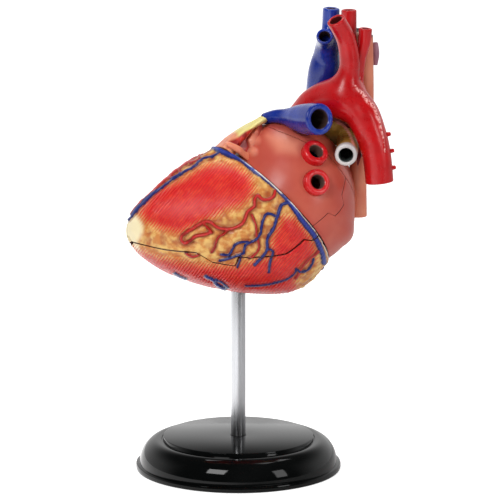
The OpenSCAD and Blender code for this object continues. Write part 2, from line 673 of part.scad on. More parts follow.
module left_lower_pulmonary_vein() {
    color([0.78, 0.08, 0.10]) in_heart() vein_stub(lower_vein, vein_d, vein_bore, vein_out);
}
module right_pulmonary_veins() {
    color([0.78, 0.08, 0.10]) in_heart() {
        vein_stub(right_upper_vein, vein_d, vein_bore, 1.5 * vein_out);
        vein_stub(right_lower_vein, vein_d, vein_bore, 1.5 * vein_out);
    }
}
module inferior_vena_cava() {
    color([0.10, 0.22, 0.62]) in_heart()
        vein_stub(cava_inlet, inferior_cava_d, inferior_cava_d - 2 * vessel_wall, inferior_cava_out);
}

// ---- The great vessels ----
vessel_fit = 0.1;    // gap between vessels that are glued to each other
module aortic_arch() {
    color([0.80, 0.09, 0.10]) in_place() tube(aorta_rows, aorta_d / 2, vessel_wall, aorta_rings);
}
module arch_branch(rows, r) {
    color([0.78, 0.08, 0.10]) in_place() difference() {
        tube(rows, r, small_wall, 11, [1, 0, 0], sides = 12);
        aorta_form(vessel_fit);
    }
}
module brachiocephalic_artery() arch_branch(brachiocephalic_rows, brachiocephalic_r);
module left_carotid_artery() arch_branch(carotid_rows, carotid_r);
module left_subclavian_artery() arch_branch(subclavian_rows, subclavian_r);
rib_artery_places = [7.2, 7.9, 8.5];   // along the aorta's rows
rib_artery_r = 0.9;
rib_artery_out = 1.6;
module rib_artery_stubs() {
    color([0.80, 0.15, 0.15]) in_place() difference() {
        for (s = rib_artery_places) let(p = row_at(aorta_rows, s))
            translate([p[0], p[1], p[2]]) rotate([0, 80, 0])
                cylinder(r = rib_artery_r, h = aorta_d / 2 * p[3] + rib_artery_out);
        aorta_form(vessel_fit);
    }
}
module pulmonary_trunk() {
    far = 80;
    color([0.10, 0.22, 0.62]) difference() {
        in_place() tube(pulmonary_rows, pulmonary_d / 2, small_wall, pulmonary_rings, [0, 0, 1]);
        // It is cut flat where it meets the conus.
        in_heart() translate([-far, -far, conus_top + seam - far]) cube([2 * far, 2 * far, far]);
    }
}
module right_pulmonary_artery() {
    color([0.10, 0.22, 0.62]) in_place() difference() {
        tube(right_pulmonary_rows, right_pulmonary_r, small_wall, 10, [0, 0, 1], sides = 12);
        pulmonary_form(vessel_fit);
        aorta_form(vessel_fit);
    }
}
module superior_vena_cava() {
    color([0.10, 0.24, 0.65]) difference() {
        in_place() tube(cava_rows, cava_d / 2, vessel_wall, cava_rings);
        in_heart() solid_form(atrium_rows, 0, atrium_end, -roof_fit);
    }
}
module left_brachiocephalic_vein() {
    color([0.10, 0.24, 0.65]) in_place() difference() {
        tube(left_brachiocephalic_rows, left_brachiocephalic_r, small_wall, 8, [0, 0, 1], sides = 12);
        cava_form(vessel_fit);
    }
}
module trachea() {
    color([0.93, 0.88, 0.80]) in_place()
        tube(windpipe_rows, windpipe_d / 2, small_wall, windpipe_rings, [1, 0, 0]);
}
module right_bronchus() {
    color([0.85, 0.85, 0.84]) in_place() difference() {
        tube(right_bronchus_rows, windpipe_d / 2, small_wall, 6, [1, 0, 0], sides = 12);
        windpipe_form(vessel_fit);
    }
}
module oesophagus() {
    color([0.90, 0.62, 0.50]) in_place()
        tube(oesophagus_rows, oesophagus_d / 2, vessel_wall, 11, sides = 12);
}
module azygos_vein() color([0.72, 0.45, 0.52]) in_place() tube(azygos_rows, azygos_r, 0, 6, sides = 12);

stand_base();
base_floor();
stand_rod();
inferior_wall();
ventricular_septum();
valve_plate();
mitral_valve();
tricuspid_valve();
aortic_valve();
mitral_papillary_muscles();
tricuspid_papillary_muscles();
atrial_back_wall();
atrial_septum();
right_pulmonary_veins();
inferior_vena_cava();
left_ventricle_wall();
right_ventricle_wall();
pulmonary_conus();
left_atrium_wall();
left_auricle();
left_upper_pulmonary_vein();
left_lower_pulmonary_vein();
right_atrium_wall();
right_auricle();
atrial_roof();
aortic_arch();
brachiocephalic_artery();
left_carotid_artery();
left_subclavian_artery();
rib_artery_stubs();
pulmonary_trunk();
right_pulmonary_artery();
superior_vena_cava();
left_brachiocephalic_vein();
trachea();
right_bronchus();
oesophagus();
azygos_vein();
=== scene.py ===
"""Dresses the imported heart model: painted walls, cut vessels, and its rod and base.

Lengths in the fields below are millimetres in the part's own frame, +Z up and -Y the
heart's left side. Meshes are built in metres.
"""

import json
import logging
import math
from dataclasses import dataclass, field
from enum import Enum
from typing import Callable, Optional, Sequence

import bpy
import numpy as np
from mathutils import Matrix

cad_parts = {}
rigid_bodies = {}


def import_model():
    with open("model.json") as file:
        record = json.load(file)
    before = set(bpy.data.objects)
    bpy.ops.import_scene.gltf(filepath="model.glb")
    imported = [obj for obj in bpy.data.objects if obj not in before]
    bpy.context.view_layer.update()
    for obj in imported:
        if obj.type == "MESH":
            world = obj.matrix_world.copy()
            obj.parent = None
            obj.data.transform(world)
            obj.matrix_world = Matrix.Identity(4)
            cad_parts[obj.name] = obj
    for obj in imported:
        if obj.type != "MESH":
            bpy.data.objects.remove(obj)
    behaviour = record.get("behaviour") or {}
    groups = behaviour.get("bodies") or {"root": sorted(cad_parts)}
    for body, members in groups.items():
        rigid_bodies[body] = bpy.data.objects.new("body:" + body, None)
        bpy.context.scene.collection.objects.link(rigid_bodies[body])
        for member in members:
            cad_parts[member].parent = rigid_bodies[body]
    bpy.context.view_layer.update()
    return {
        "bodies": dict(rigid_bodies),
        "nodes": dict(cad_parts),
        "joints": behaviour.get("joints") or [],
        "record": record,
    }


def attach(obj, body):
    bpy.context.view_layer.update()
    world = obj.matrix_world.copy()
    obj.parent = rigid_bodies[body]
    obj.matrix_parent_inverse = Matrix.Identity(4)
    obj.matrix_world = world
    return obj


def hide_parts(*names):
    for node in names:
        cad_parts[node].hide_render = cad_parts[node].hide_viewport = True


log = logging.getLogger("heart")
MM = 0.001
Array = np.ndarray
Place = Callable[[Array, Array], Array]


# ---------------------------------------------------------------- numbers and curves


def smooth(low: float, high: float, x: Array) -> Array:
    """A soft step from 0 at low to 1 at high.

    Args:
        low: Where the step starts.
        high: Where the step ends.
        x: The values.

    Returns:
        The step at each value.
    """
    t = np.clip((x - low) / (high - low), 0.0, 1.0)
    return t * t * (3.0 - 2.0 * t)


def unit(v: Array) -> Array:
    """Vectors along the last axis, each made one long."""
    return v / np.maximum(np.linalg.norm(v, axis=-1, keepdims=True), 1e-12)


def through(rows: Array, s: Array) -> Array:
    """Points on a smooth curve through rows.

    Args:
        rows: One row of numbers for each whole number.
        s: Places between the rows.

    Returns:
        One row for each place.
    """
    s = np.asarray(s, float)
    k = np.clip(np.floor(s), 0, len(rows) - 2).astype(int)
    f = (s - k)[..., None]

    def row(i: Array) -> Array:
        """The row at an index, with the ends held."""
        return rows[np.clip(i, 0, len(rows) - 1)]

    a, b, c, d = row(k - 1), row(k), row(k + 1), row(k + 2)
    return 0.5 * (2 * b + (c - a) * f + (2 * a - 5 * b + 4 * c - d) * f**2 + (3 * b - a - 3 * c + d) * f**3)


class Grain:
    """Smooth noise in space, the same at each run."""

    def __init__(self, seed: int) -> None:
        """Fills the lattice.

        Args:
            seed: Which noise this is.
        """
        self.lattice = np.random.default_rng(seed).uniform(-1.0, 1.0, (32, 32, 32))

    def at(self, points: Array, size: float) -> Array:
        """The noise at points.

        Args:
            points: Places in millimetres, three numbers each.
            size: How large one lump is.

        Returns:
            A value from -1 to 1 for each point.
        """
        p = points / size + 57.31
        cell = np.floor(p).astype(int)
        f = p - cell
        f = f * f * (3 - 2 * f)
        out = np.zeros(len(points))
        for corner in range(8):
            step = np.array([corner & 1, corner >> 1 & 1, corner >> 2 & 1])
            i = (cell + step) % 32
            share = np.prod(np.where(step == 1, f, 1 - f), axis=1)
            out += share * self.lattice[i[:, 0], i[:, 1], i[:, 2]]
        return out


# ---------------------------------------------------------------- the heart's frame and forms

CHORD_TURN = math.radians(46.0)
SIDE_TURN = math.radians(21.8)
CENTRE = np.array([13.7, 0.0, 117.1])
CHORD = np.array([math.cos(CHORD_TURN), 0.0, -math.sin(CHORD_TURN)])
LEAN = np.array([math.sin(CHORD_TURN), 0.0, math.cos(CHORD_TURN)])
RIGHT = np.array([0.0, math.cos(SIDE_TURN), 0.0]) - math.sin(SIDE_TURN) * LEAN
LENGTH = np.array([0.0, math.sin(SIDE_TURN), 0.0]) + math.cos(SIDE_TURN) * LEAN
HEART_Z = 79.0


def to_part(p: Array) -> Array:
    """Points from the heart's frame to the part's, both in millimetres."""
    return CENTRE + p[..., 0:1] * CHORD + p[..., 1:2] * RIGHT + p[..., 2:3] * LENGTH


@dataclass(frozen=True)
class Form:
    """A body of the heart, as sections with a front, a back and two depths."""

    rows: Array

    def skin(self, s: Array, a: Array) -> Array:
        """Points on the surface.

        Args:
            s: The section, a number between rows.
            a: The angle round it in degrees: front 0, left 90, back 180, right 270.

        Returns:
            Points in the heart's frame, in millimetres.
        """
        r = through(self.rows, s)
        turn = np.radians(a)
        depth = np.where(np.sin(turn) > 0, r[..., 4], r[..., 5])
        x = (r[..., 0] + r[..., 2] + (r[..., 0] - r[..., 2]) * np.cos(turn)) / 2
        z = (r[..., 1] + r[..., 3] + (r[..., 1] - r[..., 3]) * np.cos(turn)) / 2
        return np.stack([x, r[..., 6] - depth * np.sin(turn), z], -1)

    def middle(self, s: Array) -> Array:
        """The middle of each section, in the heart's frame."""
        r = through(self.rows, s)
        return np.stack([(r[..., 0] + r[..., 2]) / 2, r[..., 6], (r[..., 1] + r[..., 3]) / 2], -1)

    def outward(self, s: Array, a: Array) -> Array:
        """The direction straight out of the surface, in the heart's frame."""
        along = self.skin(s + 0.02, a) - self.skin(s - 0.02, a)
        across = self.skin(s, a + 1.0) - self.skin(s, a - 1.0)
        n = unit(np.cross(along, across))
        away = self.skin(s, a) - self.middle(s)
        return np.where((n * away).sum(-1, keepdims=True) < 0, -n, n)


VENTRICLES = Form(np.array([
    [-35.3, 0.0, 35.0, 0.0, 32.0, 32.0, 0], [-38.0, -9.0, 35.8, -10.0, 33.5, 32.5, 0],
    [-40.2, -19.0, 33.0, -19.5, 32.5, 31.0, 0], [-41.4, -29.0, 24.0, -29.8, 29.0, 27.0, 0],
    [-41.6, -38.0, 9.0, -41.5, 23.5, 21.5, 0], [-41.0, -46.0, -9.0, -51.3, 16.0, 14.5, 0],
    [-39.0, -51.3, -23.5, -55.6, 8.5, 7.5, 0], [-36.3, -54.2, -30.5, -56.0, 3.0, 2.6, 0]]))
ATRIA = Form(np.array([
    [-24.5, 0.0, 34.2, 0.0, 30.5, 30.0, 0], [-27.0, 9.0, 35.4, 7.0, 31.0, 31.0, 0],
    [-28.5, 17.0, 34.8, 14.5, 30.2, 31.0, 0], [-26.4, 25.2, 30.0, 22.0, 27.2, 28.0, 0],
    [-20.6, 32.4, 22.8, 29.7, 21.8, 23.3, 0], [-11.2, 37.2, 13.8, 35.8, 13.3, 14.6, 0],
    [-2.8, 38.7, 5.4, 38.4, 4.0, 4.5, 0], [0.8, 39.1, 1.6, 39.1, 0.4, 0.4, 0]]))
CONUS = Form(np.array([
    [-35.4, 0.2, -26.6, 0.2, 13.0, 12.0, -3], [-34.6, 8.5, -28.0, 8.5, 11.6, 10.5, -4],
    [-32.8, 16.5, -28.9, 16.5, 8.6, 8.0, -6], [-31.0, 23.0, -27.3, 23.0, 5.0, 5.0, -7]]))
LEFT_SEAM = ([0, 0.5, 0.75, 1.75, 3.25, 3.5, 4, 4.25, 7], [126, 124, 118, 119, 113, 123, 119, 106, 104])
RIGHT_SEAM = ([0, 7], [236, 250])
LEFT_ATRIUM_SEAM = ([0, 1.25, 1.5, 2.5, 2.75, 4], [111, 113, 120, 123, 117, 117])
RIGHT_ATRIUM_SEAM = ([0, 4], [245, 245])
ROOF_EDGE = ([0, 35, 50, 60, 70, 80, 180], [2.45, 2.6, 2.85, 3.05, 3.35, 3.6, 3.6])
SEAM = 0.2
ROW_H = 8.0
HOLLOW = ((228.3, 141.5), (238, 136.8), (246, 131.2), (255.5, 127.8), (250.5, 132.5), (246, 140), (248.5, 147.5),
          (247, 154), (242, 150), (235.5, 146))


def seam_at(table: tuple, s: Array) -> Array:
    """The angle of a seam at sections, from its table of sections and angles."""
    return np.interp(s, table[0], table[1])


def roof_start(a: Array) -> Array:
    """The section at which the atria's roof starts, at angles."""
    return np.interp(np.where(a > 180, 360 - a, a), ROOF_EDGE[0], ROOF_EDGE[1])


# ---------------------------------------------------------------- the photograph's eye


@dataclass(frozen=True)
class Eye:
    """The place the model is looked at from, and what a point's picture place is there."""

    target: tuple = (5.367, 0.0, 97.18)
    distance: float = 1800.0
    height: float = 12.0
    scale: float = 0.435
    middle: float = 250.5
    picture: int = 501

    def axes(self) -> tuple:
        """The directions forward, right and up."""
        e = math.radians(self.height)
        return (np.array([0, math.cos(e), -math.sin(e)]), np.array([1.0, 0, 0]),
                np.array([0, math.sin(e), math.cos(e)]))

    def place(self) -> Array:
        """Where the eye is, in millimetres."""
        return np.array(self.target) - self.distance * self.axes()[0]

    def picture_of(self, points: Array) -> Array:
        """Places in the picture, right and down from its corner.

        Args:
            points: Points in the part's frame, in millimetres.

        Returns:
            Two numbers for each point.
        """
        ahead, right, up = self.axes()
        d = points - self.place()
        deep = d @ ahead
        focal = self.distance / self.scale
        return np.stack([self.middle + focal * (d @ right) / deep, self.middle - focal * (d @ up) / deep], -1)

    def point_at(self, seen: Array, point: Array, normal: Array) -> Array:
        """Points of a plane at places in the picture.

        Args:
            seen: Two numbers each.
            point: A point of the plane, or one for each place, in millimetres.
            normal: The plane's normal.

        Returns:
            Points in the part's frame, in millimetres.
        """
        ahead, right, up = self.axes()
        focal = self.distance / self.scale
        rays = ahead + ((seen[:, :1] - self.middle) * right - (seen[:, 1:] - self.middle) * up) / focal
        far = ((point - self.place()) @ normal) / (rays @ normal)
        return self.place() + far[:, None] * rays

    def facing(self, normals: Array) -> Array:
        """How far each normal turns to the eye, from -1 to 1."""
        return -(normals @ self.axes()[0])


EYE = Eye()


def wavy(line: Sequence[Sequence[float]], steps: int = 5) -> Array:
    """A line drawn smoothly through its points.

    Args:
        line: The points.
        steps: How many pieces each stretch is cut into.

    Returns:
        The finer points.
    """
    rows = np.array(line, float)
    return through(rows, np.linspace(0, len(rows) - 1, (len(rows) - 1) * steps + 1))


def away_from(points: Array, line: Array) -> Array:
    """How far points are from a line of short pieces.

    Args:
        points: The points, in two or three numbers each.
        line: The line's points, in as many numbers.

    Returns:
        One distance for each point.
    """
    best = np.full(len(points), 1e9)
    for a, b in zip(line[:-1], line[1:]):
        d = b - a
        t = np.clip(((points - a) @ d) / max(float(d @ d), 1e-12), 0, 1)
        q = points - a - t[:, None] * d
        best = np.minimum(best, (q * q).sum(1))
    return np.sqrt(best)


def inside_of(points: Array, outline: Array) -> Array:
    """How deep points lie inside a closed outline, below zero outside it.

    Args:
        points: Two numbers each.
        outline: The corners in order.

    Returns:
        A signed distance for each point.
    """
    ring = np.vstack([outline, outline[:1]])
    x, y = points[:, 0], points[:, 1]
    within = np.zeros(len(points), bool)
    for (x0, y0), (x1, y1) in zip(ring[:-1], ring[1:]):
        cross = (y0 > y) != (y1 > y)
        at = x0 + (x1 - x0) * (y - y0) / (y1 - y0 if abs(y1 - y0) > 1e-9 else 1e-9)
        within ^= cross & (x < at)
    d = away_from(points, ring)
    return np.where(within, d, -d)


# ---------------------------------------------------------------- mesh work


def nothing_selected() -> None:
    """Leaves object mode with nothing selected."""
    if bpy.context.object and bpy.context.object.mode != "OBJECT":
        bpy.ops.object.mode_set(mode="OBJECT")
    bpy.ops.object.select_all(action="DESELECT")


def make_active(obj: bpy.types.Object) -> None:
    """Selects one object alone and makes it the active one."""
    nothing_selected()
    obj.select_set(True)
    bpy.context.view_layer.objects.active = obj


def named(obj: bpy.types.Object, name: str) -> bpy.types.Object:
    """Gives an object and its mesh a name."""
    obj.name = name
    obj.data.name = name
    return obj


def corners(obj: bpy.types.Object) -> Array:
    """The places of an object's vertices."""
    co = np.empty(len(obj.data.vertices) * 3, np.float32)
    obj.data.vertices.foreach_get("co", co)
    return co.reshape(-1, 3).astype(float)


def put_corners(obj: bpy.types.Object, co: Array) -> None:
    """Moves an object's vertices to new places."""
    obj.data.vertices.foreach_set("co", co.astype(np.float32).ravel())
    obj.data.update()


def put_attribute(obj: bpy.types.Object, name: str, values: Array) -> None:
    """Stores one number for each vertex, for the materials to read."""
    layer = obj.data.attributes.new(name, "FLOAT", "POINT")
    layer.data.foreach_set("value", np.asarray(values, np.float32))


def laid_grid(name: str, cols: int, rows: int, place: Place) -> tuple:
    """A grid laid on a surface.

    Args:
        name: The new object's name.
        cols: Faces across.
        rows: Faces along.
        place: Gives points in metres for two arrays of shares from 0 to 1.

    Returns:
        The object and the two arrays of shares, across and along.
    """
    nothing_selected()
    bpy.ops.mesh.primitive_grid_add(x_subdivisions=cols, y_subdivisions=rows, size=2)
    obj = named(bpy.context.object, name)
    co = corners(obj)
    w, u = (co[:, 0] + 1) / 2, (co[:, 1] + 1) / 2
    put_corners(obj, place(u, w))
    return obj, u, w


def welded(obj: bpy.types.Object, gap: float = 1e-6) -> bpy.types.Object:
    """Merges doubled vertices and turns the faces outwards."""
    make_active(obj)
    bpy.ops.object.mode_set(mode="EDIT")
    bpy.ops.mesh.select_all(action="SELECT")
    bpy.ops.mesh.remove_doubles(threshold=gap)
    bpy.ops.mesh.normals_make_consistent(inside=False)
    bpy.ops.object.mode_set(mode="OBJECT")
    return obj


def faces_away(obj: bpy.types.Object, outward: Array) -> None:
    """Flips an open sheet if its faces look against a direction.

    Args:
        obj: The sheet.
        outward: The wanted direction at each vertex.
    """
    mesh = obj.data
    count = len(mesh.polygons)
    normal = np.empty(count * 3, np.float32)
    mesh.polygons.foreach_get("normal", normal)
    first = np.array([p.vertices[0] for p in mesh.polygons])
    if (normal.reshape(-1, 3) * outward[first]).sum() < 0:
        make_active(obj)
        bpy.ops.object.mode_set(mode="EDIT")
        bpy.ops.mesh.select_all(action="SELECT")
        bpy.ops.mesh.flip_normals()
        bpy.ops.object.mode_set(mode="OBJECT")


def smoothed(obj: bpy.types.Object, angle: float = 40.0) -> bpy.types.Object:
    """Shades an object smooth, apart from edges sharper than an angle."""
    make_active(obj)
    bpy.ops.object.shade_smooth_by_angle(angle=math.radians(angle))
    return obj


def walled(obj: bpy.types.Object, wall: float) -> bpy.types.Object:
    """Gives a sheet its wall thickness inwards; the inner side takes the second finish."""
    make_active(obj)
    mod = obj.modifiers.new("wall", "SOLIDIFY")
    mod.thickness = wall * MM
    mod.offset = -1
    mod.material_offset = 1
    mod.material_offset_rim = 0
    bpy.ops.object.modifier_apply(modifier=mod.name)
    return obj


def opened(obj: bpy.types.Object, point: Array, axis: Array, radius: float) -> bpy.types.Object:
    """Cuts a round hole in a sheet.

    Args:
        obj: The sheet.
        point: A point on the hole's axis, in millimetres.
        axis: The axis.
        radius: The hole's radius in millimetres.

    Returns:
        The same object.
    """
    axis = unit(np.asarray(axis, float))
    co = corners(obj) / MM
    d = co - point
    flat = d - (d @ axis)[:, None] * axis
    r = np.linalg.norm(flat, axis=1)
    near = np.abs(d @ axis) < 14
    edges = np.array([e.vertices[:] for e in obj.data.edges])
    lengths = np.linalg.norm(co[edges[:, 0]] - co[edges[:, 1]], axis=1)
    step = float(np.median(lengths[near[edges[:, 0]]])) if near.any() else 0.5
    snap = near & (r < radius) & (r > radius - 1.2 * step)
    co[snap] += flat[snap] * (radius / np.maximum(r[snap], 1e-6) - 1)[:, None]
    put_corners(obj, co * MM)
    gone = near & (r < radius - 1e-6) & ~snap
    make_active(obj)
    obj.data.vertices.foreach_set("select", gone)
    obj.data.edges.foreach_set("select", np.zeros(len(obj.data.edges), bool))
    obj.data.polygons.foreach_set("select", np.zeros(len(obj.data.polygons), bool))
    bpy.ops.object.mode_set(mode="EDIT")
    bpy.ops.mesh.select_mode(type="VERT")
    bpy.ops.mesh.delete(type="VERT")
    bpy.ops.object.mode_set(mode="OBJECT")
    return obj


def joined(first: bpy.types.Object, others: Sequence[bpy.types.Object]) -> bpy.types.Object:
    """Joins objects into the first one."""
    nothing_selected()
    for o in others:
        o.select_set(True)
    first.select_set(True)
    bpy.context.view_layer.objects.active = first
    bpy.ops.object.join()
    return first


def lathed(name: str, profile: Sequence[Sequence[float]], steps: int = 96) -> bpy.types.Object:
    """Spins a profile about the Z axis.

    Args:
        name: The new object's name.
        profile: Radius and height pairs, in millimetres, in order.
        steps: How many faces round.

    Returns:
        The closed object.
    """
    nothing_selected()
    bpy.ops.mesh.primitive_grid_add(x_subdivisions=1, y_subdivisions=1, size=2)
    obj = named(bpy.context.object, name)
    mesh = obj.data
    mesh.clear_geometry()
    mesh.from_pydata([(r * MM, 0.0, z * MM) for r, z in profile], [(i, i + 1) for i in range(len(profile) - 1)], [])
    make_active(obj)
    bpy.ops.object.mode_set(mode="EDIT")
    bpy.ops.mesh.select_all(action="SELECT")
    bpy.ops.mesh.spin(steps=steps, angle=2 * math.pi, center=(0, 0, 0), axis=(0, 0, 1))
    bpy.ops.object.mode_set(mode="OBJECT")
    return smoothed(welded(obj), 32)


def turned_to(obj: bpy.types.Object, point: Array, axis: Array) -> bpy.types.Object:
    """Carries a mesh made about Z to an axis.

    Args:
        obj: The object, made in metres about the origin.
        point: Where its origin goes, in millimetres.
        axis: Where its Z axis points.

    Returns:
        The same object, with its place in its mesh.
    """
    z = unit(np.asarray(axis, float))
    x = unit(np.cross([0.3, 1.0, 0.2], z))
    frame = np.stack([x, np.cross(z, x), z])
    put_corners(obj, corners(obj) @ frame + np.asarray(point) * MM)
    return obj


def tube(name: str, rows: Sequence[Sequence[float]], radius: float, wall: float, *, rings: int = 60,
         sides: int = 40, mouth_wall: float = 0.0, lip: float = 0.6,
         shape: Optional[Callable[[Array, Array, Array], Array]] = None) -> bpy.types.Object:
    """A hollow vessel along a curve, closed at both lips.

    Args:
        name: The new object's name.
        rows: Points on the centre line, each with a share of the radius.
        radius: The vessel's radius.
        wall: Its wall.
        rings: Faces along.
        sides: Faces round.
        mouth_wall: The wall at the far end, if it is thicker there.
        lip: How round the rims are.
        shape: Changes the outer radius, for the place along from 0 to 1, the angle and the points.

    Returns:
        The object, with an attribute named bore that is 1 inside.
    """
    table = np.array(rows, float)
    last = len(table) - 1

    def centre(t: Array) -> Array:
        """The centre line and radius share at places from 0 to 1."""
        return through(table, np.clip(t, 0, 1) * last)

    fine = np.linspace(0, 1, 400)
    pts = centre(fine)[:, :3]
    ahead = unit(np.gradient(pts, axis=0))
    side = unit(np.cross(ahead[0], [0.13, 0.31, 0.94]))
    sides_at = [side]
    for k in range(1, len(fine)):
        side = unit(sides_at[-1] - (sides_at[-1] @ ahead[k]) * ahead[k])
        sides_at.append(side)
    across = np.array(sides_at)

    def frame(t: Array) -> tuple:
        """The direction along and the two directions across at places."""
        i = np.clip(t * (len(fine) - 1), 0, len(fine) - 1)
        k = np.clip(i.astype(int), 0, len(fine) - 2)
        f = (i - k)[:, None]
        e = unit(ahead[k] * (1 - f) + ahead[k + 1] * f)
        x = across[k] * (1 - f) + across[k + 1] * f
        x = unit(x - (x * e).sum(1, keepdims=True) * e)
        return e, x, np.cross(e, x)

    outer, rim = 0.46, 0.04
    bores: list = []

    def place(u: Array, w: Array) -> Array:
        """Where the loop of outer side, far rim, bore and near rim lies."""
        t = np.where(u < outer, u / outer, np.where(u < outer + rim, 1.0, np.where(
            u < 1 - rim, 1 - (u - outer - rim) / (1 - outer - 2 * rim), 0.0)))
        far, near = (u >= outer) & (u <= outer + rim), u > 1 - rim
        turn = np.where(far, (u - outer) / rim, np.where(near, (u - 1 + rim) / rim, 0.0)) * math.pi
        c = centre(t)
        e, x, y = frame(t)
        thick = wall + (max(mouth_wall, wall) - wall) * smooth(0.6, 1.0, t)
        r_out = radius * c[:, 3]
        if shape is not None:
            r_out = shape(t, w * 2 * math.pi, c[:, :3])
        r_in = r_out - thick
        r = np.where(u < outer, r_out, r_in)
        r = np.where(far, (r_out + r_in) / 2 + thick / 2 * np.cos(turn), r)
        r = np.where(near, (r_out + r_in) / 2 - thick / 2 * np.cos(turn), r)
        push = np.where(far, lip * np.sin(turn), np.where(near, -lip * np.sin(turn), 0.0))
        a = w * 2 * math.pi
        bores.append(np.where(u < outer, 0.0, np.where(far, smooth(0.75, 0.95, turn / math.pi), 1.0)))
        return (c[:, :3] + e * push[:, None] + r[:, None] * (
            np.cos(a)[:, None] * x + np.sin(a)[:, None] * y)) * MM

    obj, _, _ = laid_grid(name, sides, int(rings / 0.46 + 16), place)
    put_attribute(obj, "bore", bores[0])
    return smoothed(welded(obj), 60)


@dataclass(frozen=True)
class Core:
    """A vessel's middle line and size, sampled closely."""

    points: Array
    radii: Array

    @staticmethod
    def of(rows: Sequence[Sequence[float]], radius: float) -> "Core":
        """The core of a vessel with a centre line and a radius."""
        table = np.array(rows, float)
        fine = through(table, np.linspace(0, len(table) - 1, 240))
        return Core(fine[:, :3], radius * fine[:, 3])

    def measure(self, points: Array) -> tuple:
        """How far points lie outside the vessel, and the direction away from it."""
        far = np.empty(len(points))
        away = np.empty((len(points), 3))
        for start in range(0, len(points), 4000):
            part = points[start:start + 4000]
            d = np.linalg.norm(part[:, None] - self.points, axis=2) - self.radii
            i = d.argmin(1)
            far[start:start + 4000] = d[np.arange(len(part)), i]
            away[start:start + 4000] = unit(part - self.points[i])
        return far, away


def melted(obj: bpy.types.Object, own: Core, others: Sequence[Core], reach: float) -> bpy.types.Object:
    """Lets a vessel's outer skin flow smoothly into the vessels that it meets.

    Args:
        obj: The vessel, with its attribute bore.
        own: Its core.
        others: The cores of what it meets.
        reach: How wide the soft join is, in millimetres.

    Returns:
        The same object.
    """
    co = corners(obj) / MM
    bore = np.empty(len(co), np.float32)
    obj.data.attributes["bore"].data.foreach_get("value", bore)
    start = own.measure(co)[0]
    for other in others:
        away = other.measure(co)[0]
        pick = (bore < 0.3) & (away < reach) & (away > -reach)
        p = co[pick]
        for _ in range(4):
            a, to_a = own.measure(p)
            a = a - start[pick]
            b, to_b = other.measure(p)
            h = np.clip(reach - np.abs(a - b), 0, None) / reach
            value = np.minimum(a, b) - h * h * reach / 4
            share = np.where(a < b, 1 - h / 2, h / 2)[:, None]
            way = share * to_a + (1 - share) * to_b
            p = p - value[:, None] * way / np.maximum((way * way).sum(1, keepdims=True), 0.3)
        keep = smooth(-0.55 * reach, -0.15 * reach, away[pick])[:, None]
        co[pick] = co[pick] * (1 - keep) + p * keep
    put_corners(obj, co * MM)
    return obj


def cleared(obj: bpy.types.Object, cores: Sequence[Core], into: float) -> bpy.types.Object:
    """Takes away what of a sheet lies inside vessels, leaving its edge within their walls.

    Args:
        obj: The sheet.
        cores: The vessels' cores.
        into: How far inside a vessel's skin the sheet may reach, in millimetres.

    Returns:
        The same object.
    """
    co = corners(obj) / MM
    gone = np.zeros(len(co), bool)
    for core in cores:
        gone |= core.measure(co)[0] < -into
    make_active(obj)
    obj.data.vertices.foreach_set("select", gone)
    obj.data.edges.foreach_set("select", np.zeros(len(obj.data.edges), bool))
    obj.data.polygons.foreach_set("select", np.zeros(len(obj.data.polygons), bool))
    bpy.ops.object.mode_set(mode="EDIT")
    bpy.ops.mesh.select_mode(type="VERT")
    bpy.ops.mesh.delete(type="VERT")
    bpy.ops.object.mode_set(mode="OBJECT")
    return obj


# ---------------------------------------------------------------- finishes


def shade(red: float, green: float, blue: float) -> tuple:
    """A colour as it is seen, from 0 to 255, as the shader's linear numbers."""
    def one(v: float) -> float:
        """One channel."""
        c = v / 255
        return c / 12.92 if c <= 0.04045 else ((c + 0.055) / 1.055) ** 2.4
    return one(red), one(green), one(blue), 1.0


